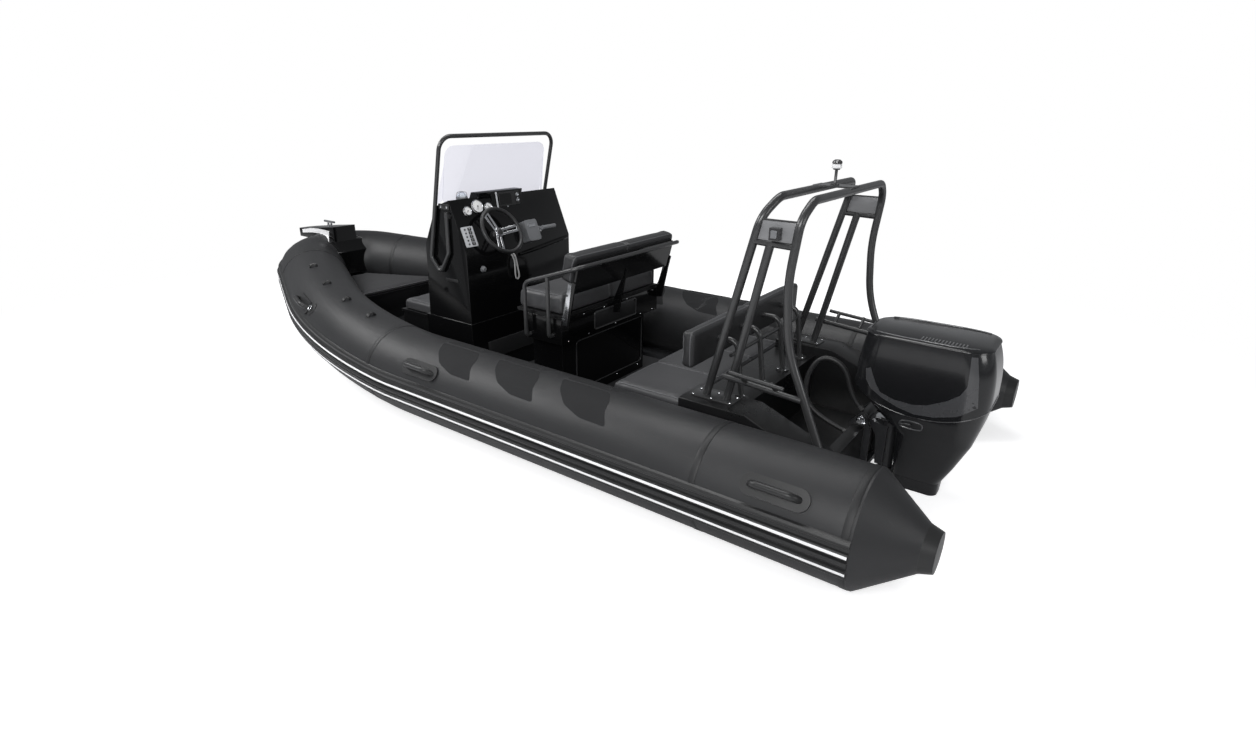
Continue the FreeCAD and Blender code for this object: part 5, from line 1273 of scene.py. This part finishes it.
class BOAT_OT_console(bpy.types.Operator):
    """Gauges, switches, plotter, compass and trim of the console"""

    bl_idname = "boat.console"
    bl_label = "Console fittings"

    def execute(self, context):
        for number, row in enumerate(GAUGES):
            make_gauge(number, *row)
        make_switches()
        make_plotter()
        make_compass()
        make_screen_trim()
        make_console_trim()
        softened("console_shell", finishes["gloss_moulding"], 0.007, 25, 3)
        softened("console_kick_plate", finishes["plain_plate"], 0.004)
        softened("throttle_control", finishes["control_grey"], 0.006, 30, 3)
        trim = [turned("throttle_hub", on_dash(-0.135, 0.066, 0.044), -PORT,
                       ((0, 0.029), (0.010, 0.029), (0.013, 0.024), (0.022, 0.023), (0.026, 0.016)), 32),
                dash_slab("throttle_badge", -0.075, 0.100, 0.034, 0.012, 0.003, 0.070, corner=0.004)]
        dress(join("throttle_trim", trim), "hull", finishes["stainless"])
        return {"FINISHED"}


# ---------------------------------------------------------------- steering wheel

WHEEL_PLACE = Vector((0.351, 0.220, 1.038))
WHEEL_TILT = math.radians(32)
WHEEL_OUT = Vector((-math.cos(WHEEL_TILT), 0, math.sin(WHEEL_TILT)))
WHEEL_RADIUS = 0.151
WHEEL_GRIP = 0.0135
WHEEL_DISH = 0.046
WHEEL_SEGMENTS = 96
WRAP_JOINT_SHARE = 0.93
FINGER_COUNT = 24
FINGER_DEPTH = 0.08
SPOKE_ANGLES = (30, 150, 270)


def put_on_wheel(item, turn=0.0):
    """Turn a piece made round +Z about it and stand it on the wheel's shaft."""
    across = PORT.cross(WHEEL_OUT)
    basis = Matrix((across, PORT, WHEEL_OUT)).transposed().to_4x4()
    item.matrix_world = Matrix.Translation(WHEEL_PLACE) @ basis @ Matrix.Rotation(turn, 4, "Z")
    return settle(item)


def make_wheel_rim():
    deselect()
    bpy.ops.mesh.primitive_torus_add(major_radius=WHEEL_RADIUS, minor_radius=WHEEL_GRIP,
                                     major_segments=WHEEL_SEGMENTS, minor_segments=16)
    rim = bpy.context.object
    rim.name = "wheel_rim"
    for vertex in rim.data.vertices:
        around = math.atan2(vertex.co.y, vertex.co.x)
        core = Vector((math.cos(around), math.sin(around), 0)) * WHEEL_RADIUS
        step = round(around / (2 * math.pi) * WHEEL_SEGMENTS)
        share = WRAP_JOINT_SHARE if step % 16 in (4, 12) else 1.0
        inside = max(0.0, (WHEEL_RADIUS - vertex.co.xy.length) / WHEEL_GRIP)
        wave = FINGER_DEPTH * inside * math.cos(around * FINGER_COUNT)
        vertex.co = core + (vertex.co - core) * (share + wave)
    rim = put_on_wheel(smooth(rim, 60))
    dress(rim, "wheel", finishes["wheel_rim"])
    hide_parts("steering_wheel")


def make_spoke(degrees):
    """A tapering plate with a long slot, from the hub's back up to the rim."""
    reach = WHEEL_RADIUS - 0.006
    root = 0.020
    deselect()
    bpy.ops.mesh.primitive_plane_add(size=1)
    item = bpy.context.object
    item.name = "spoke"
    item.scale = (reach - root, 0.040, 1)
    item.location = ((reach + root) / 2, 0, 0)
    settle(item)
    bpy.ops.object.mode_set(mode="EDIT")
    bpy.ops.mesh.select_all(action="SELECT")
    bpy.ops.mesh.inset(thickness=0.0135)
    bpy.ops.mesh.delete(type="FACE")
    bpy.ops.object.mode_set(mode="OBJECT")
    for vertex in item.data.vertices:
        share = (vertex.co.x - root) / (reach - root)
        vertex.co.y *= 1.15 - 0.45 * math.sin(share * math.pi) + 0.10 * share
        vertex.co.z = -WHEEL_DISH * 0.75 * (1 - share)
    finish_with(item, "SOLIDIFY", thickness=0.006, offset=0)
    finish_with(item, "BEVEL", width=0.0018, segments=3)
    return put_on_wheel(smooth(item), math.radians(degrees))


class BOAT_OT_wheel(bpy.types.Operator):
    """Steering wheel: wrapped rim, slotted spokes, hub and boot"""

    bl_idname = "boat.wheel"
    bl_label = "Steering wheel"

    def execute(self, context):
        make_wheel_rim()
        metal = [make_spoke(degrees) for degrees in SPOKE_ANGLES]
        hub = turned("wheel_hub", WHEEL_PLACE - WHEEL_OUT * WHEEL_DISH, WHEEL_OUT, (
            (0, 0.024), (0.006, 0.031), (0.020, 0.031), (0.024, 0.028)), 40)
        dress(join("wheel_metal", metal + [hub]), "wheel", finishes["stainless"])
        cap = turned("wheel_cap", WHEEL_PLACE - WHEEL_OUT * 0.022, WHEEL_OUT, (
            (0, 0.021), (0.003, 0.021), (0.006, 0.017), (0.0075, 0.008)), 32)
        boot = turned("wheel_boot", WHEEL_PLACE - WHEEL_OUT * 0.070, WHEEL_OUT, (
            (0, 0.024), (0.005, 0.020), (0.010, 0.0205), (0.015, 0.017), (0.023, 0.0165)), 32)
        dress(join("wheel_cap", [cap, boot]), "wheel", finishes["rocker"])
        return {"FINISHED"}


# ---------------------------------------------------------------- small parts that several groups share

PLATE_EDGE = 0.0008


def plate(name, outline, side, thick):
    """A flat plate that stands along the boat; outline is (station, level) pairs, side is its inner face."""
    deselect()
    bpy.ops.mesh.primitive_circle_add(vertices=len(outline), radius=1, fill_type="NGON")
    item = bpy.context.object
    item.name = name
    for vertex, (station, level) in zip(item.data.vertices, outline):
        vertex.co = (station, side, level)
    bpy.ops.object.mode_set(mode="EDIT")
    bpy.ops.mesh.select_all(action="SELECT")
    bpy.ops.mesh.extrude_region_move(TRANSFORM_OT_translate={"value": (0, math.copysign(thick, side), 0)})
    bpy.ops.mesh.select_all(action="SELECT")
    bpy.ops.mesh.normals_make_consistent(inside=False)
    bpy.ops.object.mode_set(mode="OBJECT")
    finish_with(item, "BEVEL", width=PLATE_EDGE, segments=2, limit_method="ANGLE",
                angle_limit=math.radians(30))
    return smooth(item)


def bolts(name, places, out, radius=None, rise=0.0045):
    """Round-headed bolts on a face, one at each place."""
    radius = radius or settings().bolt_radius
    first = turned(name, Vector(places[0]), out, (
        (0, radius * 1.35), (rise * 0.25, radius * 1.35), (rise * 0.3, radius), (rise * 0.8, radius * 0.8),
        (rise, radius * 0.35)), 16)
    rest = copies(first, [Vector(place) - Vector(places[0]) for place in places[1:]])
    return join(name, [first] + rest)


def along_line(spots, share):
    """A point at a share of the way along a run of points."""
    place = share * (len(spots) - 1)
    number = min(int(place), len(spots) - 2)
    return Vector(spots[number]).lerp(Vector(spots[number + 1]), place - number)


BESIDE_BOAT = 0.6
SKIN_GAP = 0.0003


def laid_strip(name, node, upper, lower, sign, thick=0.0008, columns=40, rows=5):
    """A thin panel laid on a piece's side between two runs of (station, level) points."""
    tree = node_skin(node)
    deselect()
    bpy.ops.mesh.primitive_grid_add(x_subdivisions=columns, y_subdivisions=rows, size=1)
    item = bpy.context.object
    item.name = name
    for number, vertex in enumerate(item.data.vertices):
        share = (number % (columns + 1)) / columns
        spot = along_line(upper, share).lerp(along_line(lower, share), (number // (columns + 1)) / rows)
        start = Vector((spot.x, sign * BESIDE_BOAT, spot.y))
        place = tree.ray_cast(start, PORT * -sign)[0]
        if place is None:
            place = tree.find_nearest(start)[0]
        vertex.co = place + PORT * sign * SKIN_GAP
    finish_with(item, "SOLIDIFY", thickness=thick, offset=0)
    bpy.ops.object.mode_set(mode="EDIT")
    bpy.ops.mesh.select_all(action="SELECT")
    bpy.ops.mesh.normals_make_consistent(inside=False)
    bpy.ops.object.mode_set(mode="OBJECT")
    return smooth(item)


FORMS = (
    # node, finish, width of its rounded edges
    ("bow_locker", "deck_moulding", 0.006),
    ("bow_step", "gloss_moulding", 0.008),
    ("helm_seat_box", "gloss_moulding", 0.007),
    ("bench_box", "deck_moulding", 0.007),
    ("front_seat_box", "deck_moulding", 0.007),
    ("side_decks", "deck_moulding", 0.006),
    ("cowl_cap", "engine_paint", 0.006),
    ("cowl_lower", "engine_paint", 0.004),
)


class BOAT_OT_forms(bpy.types.Operator):
    """Mouldings and casings with their edges rounded"""

    bl_idname = "boat.forms"
    bl_label = "Rounded mouldings"

    def execute(self, context):
        for node, finish, bevel in FORMS:
            softened(node, finishes[finish], bevel, 25, 3)
        return {"FINISHED"}


# ---------------------------------------------------------------- helm seat

BRACKET_COVER = (
    # station, level
    (-0.3915, 0.600),
    (-0.3915, 0.652),
    (-0.4240, 0.760),
    (-0.4460, 0.860),
    (-0.4700, 0.852),
    (-0.4520, 0.740),
    (-0.4300, 0.606),
)


def outline_on_aft_face(name, station, side_low, side_high, low, high, radius, corner=0.03):
    """A round bead along a rectangle with round corners on a face that looks aft."""
    spots = []
    for side, level, one, two in ((side_high, high, -1, -1), (side_low, high, 1, -1), (side_low, low, 1, 1),
                                  (side_high, low, -1, 1)):
        near = (station, side, level + two * corner)
        far = (station, side + one * corner, level)
        tip = (station, side, level)
        spots += [near, tip, far] if one * two > 0 else [far, tip, near]
    return rope(name, spots, radius, closed=True)


class BOAT_OT_helm(bpy.types.Operator):
    """Tray, door, covers and bolts of the helm seat"""

    bl_idname = "boat.helm"
    bl_label = "Helm seat fittings"

    def execute(self, context):
        # Beads along the lips of the tray and the door, in the lighter rail grey as a painted highlight
        # along their edges.
        rim = outline_on_aft_face("tray_rim", -0.3925, -0.240, 0.195, 0.505, 0.612, 0.0055)
        door = outline_on_aft_face("door_rim", -0.3315, -0.400, 0.300, 0.115, 0.440, 0.0045, 0.06)
        dress(join("highlit_helm_rims", [rim, door]), "hull", finishes["tube_paint"])
        tray = slab("tray_floor", Vector((-0.3905, -0.022, 0.558)), 0.212, 0.048, 0.002, -PORT, UP,
                    corner=0.024)
        dress(tray, "hull", finishes["plain_plate"])
        covers = []
        for sign in (1, -1):
            covers.append(plate("bracket_cover", BRACKET_COVER, sign * 0.4952, 0.0018))
        dress(join("bracket_covers", covers), "hull", finishes["stainless"])
        spots = [(-0.3915, side, 0.492) for side in (-0.44, -0.30, -0.02, 0.25, 0.44)]
        spots += [(-0.3915, side, 0.626) for side in (-0.44, -0.14, 0.10, 0.30, 0.44)]
        spots += [(-0.3305, side, 0.095) for side in (-0.36, -0.12, 0.12, 0.36)]
        dress(bolts("helm_bolts", spots, -AHEAD, 0.0045), "hull", finishes["stainless"])
        for sign, name in SIDES:
            spots = [(station, sign * 0.4971, level)
                     for station, level in ((-0.402, 0.640), (-0.436, 0.790), (-0.430, 0.700))]
            dress(bolts(f"bracket_bolts_{name}", spots, PORT * sign, 0.006), "hull", finishes["dark_steel"])
        return {"FINISHED"}


# ---------------------------------------------------------------- outboard engine

ACCENT_UPPER = (
    (-2.070, 0.644), (-2.104, 0.571), (-2.130, 0.532), (-2.194, 0.511), (-2.278, 0.507), (-2.342, 0.521),
    (-2.421, 0.563), (-2.470, 0.603), (-2.493, 0.650), (-2.490, 0.715), (-2.484, 0.785),
)
ACCENT_LOWER = (
    (-2.046, 0.633), (-2.056, 0.580), (-2.085, 0.541), (-2.141, 0.507), (-2.216, 0.478), (-2.294, 0.462),
    (-2.380, 0.470), (-2.474, 0.500), (-2.548, 0.556), (-2.530, 0.690), (-2.508, 0.785),
)
SPLIT_CENTRE = (-2.2959, 0.9710)
SPLIT_RADIUS = 0.5250
ENGINE_MIDDLE = -2.29
LATCH_STATION = -2.282
LATCH_LEVEL = 0.392
LATCH_RIM = (
    # aft of the latch's middle, above it
    (-0.052, 0.0),
    (-0.036, 0.024),
    (0.046, 0.024),
    (0.056, 0.004),
    (0.048, -0.022),
    (-0.044, -0.022),
)
VENT_COUNT = 14
TILT_AXIS = (-2.045, 0.340)
TILT_NUT_SIDE = 0.1325
TILT_NUT = (
    # out from the bracket, radius: washer, nut, end of the bolt
    (0, 0.026),
    (0.003, 0.026),
    (0.004, 0.021),
    (0.016, 0.021),
    (0.018, 0.015),
    (0.026, 0.014),
)


def split_level(station):
    """Level of the joint between the two cowls."""
    off = station - SPLIT_CENTRE[0]
    return SPLIT_CENTRE[1] - math.sqrt(SPLIT_RADIUS ** 2 - off * off)


def split_ring(rise, out):
    """Points round the engine along the cowls' joint, rise above it and out from the skin."""
    tree = node_skin("cowl_lower")
    spots = []
    for degrees in range(0, 360, 5):
        way = Vector((math.cos(math.radians(degrees)), math.sin(math.radians(degrees)), 0))
        level = 0.46
        for _ in range(4):
            start = Vector((ENGINE_MIDDLE, 0, level - 0.012)) + way * 0.7
            place = tree.ray_cast(start, -way)[0]
            if place is None:
                break
            level = split_level(place.x)
        if place is not None:
            spots.append(Vector((place.x, place.y, level + rise)) + way * out)
    return spots


class BOAT_OT_engine(bpy.types.Operator):
    """Lips, panels, latch, vents and nuts of the engine"""

    bl_idname = "boat.engine"
    bl_label = "Engine trim"

    def execute(self, context):
        for sign, name in SIDES:
            panel = laid_strip(f"cowl_accent_{name}", "cowl_upper", ACCENT_UPPER, ACCENT_LOWER, sign)
            dress(panel, "motor", finishes["engine_grey"])
            spots = []
            tree = node_skin("cowl_lower")
            for along, rise in LATCH_RIM:
                start = Vector((LATCH_STATION - along, sign * BESIDE_BOAT, LATCH_LEVEL + rise))
                spots.append(tree.ray_cast(start, PORT * -sign)[0] + PORT * sign * 0.002)
            latch = rope(f"cowl_latch_{name}", spots, 0.004, closed=True)
            dress(latch, "motor", finishes["engine_grey"])
            grip = [spot.lerp(spots[5] if number < 3 else spots[0], 0.5)
                    for number, spot in enumerate(spots[:4])]
            dress(rope(f"latch_grip_{name}", grip, 0.006), "motor", finishes["engine_cast"])
        lip = rope("cowl_lip", split_ring(0.006, 0.0035), 0.0045, closed=True)
        seal = rope("cowl_seal", split_ring(-0.007, 0.001), 0.0035, closed=True)
        dress(join("cowl_lips", [lip, seal]), "motor", finishes["engine_grey"])
        rib = slab("cowl_vent", Vector((-2.262, 0.126, 0.8125)), 0.0035, 0.026, 0.003, AHEAD, PORT,
                   corner=0.003)
        ribs = [rib] + copies(rib, [(-0.0145 * step, 0.0006 * step, 0) for step in range(1, VENT_COUNT)])
        dress(join("cowl_vents", ribs), "motor", finishes["engine_grey"])
        # Raised strips along both edges of the cap, in the lighter engine grey as a painted highlight along
        # those edges.
        edge = []
        for half in (0.1655, -0.1655):
            edge.append(rope("cap_edge", [(-2.060, half * 0.86, 0.8125), (-2.110, half, 0.8128),
                                          (-2.280, half * 1.005, 0.8130), (-2.450, half, 0.8128),
                                          (-2.505, half * 0.86, 0.8125)], 0.004))
        dress(join("highlit_cap_rims", edge), "motor", finishes["engine_grey"])
        nuts = []
        for sign in (1, -1):
            seat = Vector((TILT_AXIS[0], sign * TILT_NUT_SIDE, TILT_AXIS[1]))
            nuts.append(turned("tilt_nut", seat, PORT * sign, TILT_NUT, 6))
        dress(join("tilt_nuts", nuts), "hull", finishes["stainless"])
        return {"FINISHED"}


# ---------------------------------------------------------------- bow, handles and seams of the collar

LOOP_SPOTS = (
    # distance along the collar from the stern, degrees above its side
    (4.340, 78),
    (3.900, 82),
    (3.520, 84),
    (3.180, 84),
)
EYE_SPOT = (3.700, 38)
SEAM_DISTANCES = (0.010, 0.655, 2.900, 4.760)
BOW_ACCENT_UPPER = ((3.060, 0.742), (2.900, 0.770), (2.760, 0.778), (2.600, 0.776))
BOW_ACCENT_LOWER = ((3.060, 0.712), (2.900, 0.732), (2.760, 0.738), (2.625, 0.700))


def on_collar_strap(name, distance, degrees, half_long, half_wide):
    """A small patch with a sewn loop that stands up from it."""
    angle = math.radians(degrees)
    half = math.degrees(half_wide / TUBE_RADIUS)
    pad = patch(name, distance, ((half_long, degrees - half), (half_long, degrees + half),
                                 (-half_long, degrees + half),
                                 (-half_long, degrees - half)), corner=0.008, detail=1)
    foot, heading, out, round_it = collar_spot(distance, angle)
    spots = [foot + round_it * across + out * rise for across, rise in
             ((-0.026, 0.001), (-0.022, 0.010), (0.0, 0.020), (0.022, 0.010), (0.026, 0.001))]
    strips = []
    for step in (-2, 0, 2):
        strips.append(rope(name + "_loop", [spot + heading * step * 0.005 for spot in spots], 0.0050,
                           sides=1))
    return join(name, [pad] + strips)


class BOAT_OT_collar_trim(bpy.types.Operator):
    """Loops, rings and seam tapes on the collar, and the accent on the bow step"""

    bl_idname = "boat.collar_trim"
    bl_label = "Collar trim"

    def execute(self, context):
        loops = [on_collar_strap(f"lacing_loop_{number}", distance, degrees, 0.024, 0.036)
                 for number, (distance, degrees) in enumerate(LOOP_SPOTS)]
        dress(mirrored(join("lacing_loops", loops)), "hull", finishes["moulded_rubber"])
        distance, degrees = EYE_SPOT
        place, heading, out, round_it = collar_spot(distance, math.radians(degrees))
        base = turned("tow_patch", place - out * 0.006, out, ((0, 0.046), (0.0085, 0.045), (0.010, 0.040)),
                      40)
        strap = rope("tow_strap", [place + heading * along + out * rise for along, rise in
                                   ((0.075, 0.001), (0.045, 0.006), (0.012, 0.012), (0.0, 0.014))], 0.006)
        dress(mirrored(join("tow_patches", [base, strap])), "hull", finishes["moulded_rubber"])
        ring = [place + out * 0.014 + (round_it * math.cos(turn) + heading * math.sin(turn)) * 0.017
                for turn in (math.radians(step * 30) for step in range(12))]
        dress(mirrored(rope("tow_ring", ring, 0.0036, closed=True)), "hull", finishes["stainless"])
        tapes = []
        for number, distance in enumerate(SEAM_DISTANCES):
            place, heading, out, _ = collar_spot(distance)
            radius = TUBE_RADIUS
            tapes.append(turned(f"seam_tape_{number}", place - out * radius, heading, (
                (0, radius - 0.004), (0, radius + 0.0003), (0.0015, radius + 0.0011),
                (0.0285, radius + 0.0011), (0.030, radius + 0.0003), (0.030, radius - 0.004)), 128))
        dress(mirrored(join("seam_tapes", tapes)), "hull", finishes["seam_tape"])
        for sign, name in SIDES:
            accent = laid_strip(f"bow_accent_{name}", "bow_step", BOW_ACCENT_UPPER, BOW_ACCENT_LOWER, sign,
                                columns=16)
            dress(accent, "hull", finishes["stripe"])
        return {"FINISHED"}


# ---------------------------------------------------------------- arch, lamps and deck fittings

BENCH_FEET = (-0.380, -0.130, 0.130, 0.380)
BENCH_FOOT_STATION = -1.502
BENCH_FOOT_TOP = 0.4063
FOOT_BOLT_RING = 0.026
MAST_FOOT = (-1.726, 0, 1.4483)
ARCH_COVER = (
    # station, level
    (-1.606, 1.252),
    (-1.633, 1.338),
    (-1.789, 1.338),
    (-1.785, 1.252),
)


def mast_light():
    foot = Vector(MAST_FOOT)
    stem = turned("mast_light_stem", foot, UP, (
        (0, 0.021), (0.004, 0.021), (0.007, 0.009), (0.010, 0.007), (0.068, 0.007), (0.070, 0.016),
        (0.076, 0.0165)), 32)
    dress(stem, "hull", finishes["tube_paint"])
    lens = turned("mast_light_lens", foot + UP * 0.076, UP, (
        (0, 0.021), (0.003, 0.0235), (0.018, 0.0225), (0.021, 0.019)), 32)
    dress(lens, "hull", finishes["lamp_white"])
    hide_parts("mast_light")
    cap = turned("mast_light_cap", foot + UP * 0.097, UP, (
        (0, 0.022), (0.004, 0.024), (0.012, 0.022), (0.019, 0.012)), 32)
    dress(cap, "hull", finishes["lamp_dark"])


class BOAT_OT_arch(bpy.types.Operator):
    """Covers, lamps, base plates and bolts of the arch and the bench"""

    bl_idname = "boat.arch"
    bl_label = "Arch and deck fittings"

    def execute(self, context):
        mast_light()
        covers = []
        for sign in (1, -1):
            covers.append(plate("arch_cover", ARCH_COVER, sign * 0.5712, 0.0015))
            covers.append(plate("arch_cover", ARCH_COVER, sign * 0.5635, 0.0014))
        dress(join("arch_covers", covers), "hull", finishes["plate_grey"])
        lenses = []
        for sign in (1, -1):
            spot = Vector((-1.701, sign * 0.6054, 1.288))
            lenses.append(slab("side_lens", spot, 0.014, 0.017, 0.004, -AHEAD * sign, UP, corner=0.005))
        dress(join("side_lenses", lenses), "hull", finishes["control_grey"])
        feet = []
        spots = []
        for sign in (1, -1):
            feet.append(slab("arch_base", Vector((-1.446, sign * 0.560, 0.4552)), 0.118, 0.052, 0.0065,
                             AHEAD, PORT, corner=0.014))
            for station in (-1.345, -1.446, -1.548):
                spots += [(station, sign * (0.560 + half), 0.4615) for half in (-0.040, 0.040)]
        dress(join("arch_bases", feet), "hull", finishes["tube_paint"])
        for side in BENCH_FEET:
            for turn in (30, 150, 270):
                angle = math.radians(turn)
                spots.append((BENCH_FOOT_STATION + FOOT_BOLT_RING * math.cos(angle),
                              side + FOOT_BOLT_RING * math.sin(angle), BENCH_FOOT_TOP))
        dress(bolts("deck_bolts", spots, UP, 0.0055), "hull", finishes["stainless"])
        return {"FINISHED"}


# ---------------------------------------------------------------- the collar's fabric

CONE_LENGTH = 0.205
CONE_END_RADIUS = 0.098
CONE_RINGS = 8
PANEL_RINGS = 96
FABRIC_SIDES = 112
TAPE_HALF = 0.015
SEAM_REACH = 0.024
SEAM_PULL = 0.0014
PUCKER = 0.00035
PUCKERS_ROUND = 28


def collar_length():
    return sum(amount if kind == "line" else amount * turn for kind, amount, turn, _ in collar_stretches())


def seam_near(distance):
    """How close a place is to a seam, from 0 far away to 1 on it."""
    return max(math.exp(-((distance - seam - TAPE_HALF) / SEAM_REACH) ** 2) for seam in SEAM_DISTANCES)


def fabric_columns():
    """Distances of the fabric's rings: even along a panel, and close together beside a seam."""
    spots = {round(collar_length() * step / PANEL_RINGS, 5) for step in range(PANEL_RINGS + 1)}
    for seam in SEAM_DISTANCES:
        middle = seam + TAPE_HALF
        spots = {spot for spot in spots if spot in (0.0, max(spots)) or abs(spot - seam - TAPE_HALF) > 0.055}
        spots |= {round(middle + 0.010 * step, 5) for step in range(-5, 6) if middle + 0.010 * step > 0}
    cone = {-CONE_LENGTH * step / CONE_RINGS for step in range(1, CONE_RINGS + 1)}
    return sorted(spots | cone)


def make_collar_fabric():
    columns = fabric_columns()
    deselect()
    bpy.ops.mesh.primitive_grid_add(x_subdivisions=len(columns) - 1, y_subdivisions=FABRIC_SIDES, size=1)
    item = bpy.context.object
    item.name = "collar_fabric"
    for number, vertex in enumerate(item.data.vertices):
        distance = columns[number % len(columns)]
        angle = math.tau * (number // len(columns)) / FABRIC_SIDES
        if distance < 0:
            lift = (CONE_END_RADIUS - TUBE_RADIUS) * -distance / CONE_LENGTH
        else:
            lift = -seam_near(distance) * (SEAM_PULL + PUCKER * math.cos(PUCKERS_ROUND * angle))
        vertex.co = collar_spot(distance, angle, lift)[0]
    bpy.ops.object.mode_set(mode="EDIT")
    bpy.ops.mesh.select_all(action="SELECT")
    bpy.ops.mesh.remove_doubles(threshold=0.0001)
    bpy.ops.object.mode_set(mode="OBJECT")
    finish_with(item, "MIRROR", use_axis=(False, True, False), merge_threshold=0.003)
    bpy.ops.object.mode_set(mode="EDIT")
    bpy.ops.mesh.select_all(action="SELECT")
    bpy.ops.mesh.fill_holes(sides=FABRIC_SIDES)
    bpy.ops.mesh.select_all(action="SELECT")
    bpy.ops.mesh.normals_make_consistent(inside=False)
    bpy.ops.object.mode_set(mode="OBJECT")
    smooth(item)
    dress(item, "hull", finishes["tube_fabric"])
    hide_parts("inflatable_tube")


class BOAT_OT_collar(bpy.types.Operator):
    """Fabric of the inflatable collar, drawn in along its seams"""

    bl_idname = "boat.collar"
    bl_label = "Collar fabric"

    def execute(self, context):
        make_collar_fabric()
        return {"FINISHED"}


OPERATORS = [BOAT_OT_stage, BOAT_OT_collar, BOAT_OT_strake, BOAT_OT_patches, BOAT_OT_cushions, BOAT_OT_hose,
             BOAT_OT_console, BOAT_OT_wheel, BOAT_OT_forms, BOAT_OT_helm, BOAT_OT_engine,
             BOAT_OT_collar_trim,
             BOAT_OT_arch]


class BOAT_PT_panel(bpy.types.Panel):
    """The boat's groups of pieces, one button each"""

    bl_label = "Rigid inflatable boat"
    bl_idname = "BOAT_PT_panel"
    bl_space_type = "VIEW_3D"
    bl_region_type = "UI"
    bl_category = "Boat"

    def draw(self, context):
        for operator in OPERATORS:
            self.layout.operator(operator.bl_idname)


def register():
    bpy.utils.register_class(BoatSettings)
    bpy.types.Scene.boat = bpy.props.PointerProperty(type=BoatSettings)
    for operator in OPERATORS:
        bpy.utils.register_class(operator)
    bpy.utils.register_class(BOAT_PT_panel)


def unregister():
    bpy.utils.unregister_class(BOAT_PT_panel)
    for operator in reversed(OPERATORS):
        bpy.utils.unregister_class(operator)
    del bpy.types.Scene.boat
    bpy.utils.unregister_class(BoatSettings)


def plain(bounds):
    return [[float(part) for part in corner] for corner in bounds]


def main():
    register()
    make_finishes(settings())
    finish_nodes()
    for operator in OPERATORS:
        group, name = operator.bl_idname.split(".")
        getattr(getattr(bpy.ops, group), name)()


if __name__ == "__main__":
    main()
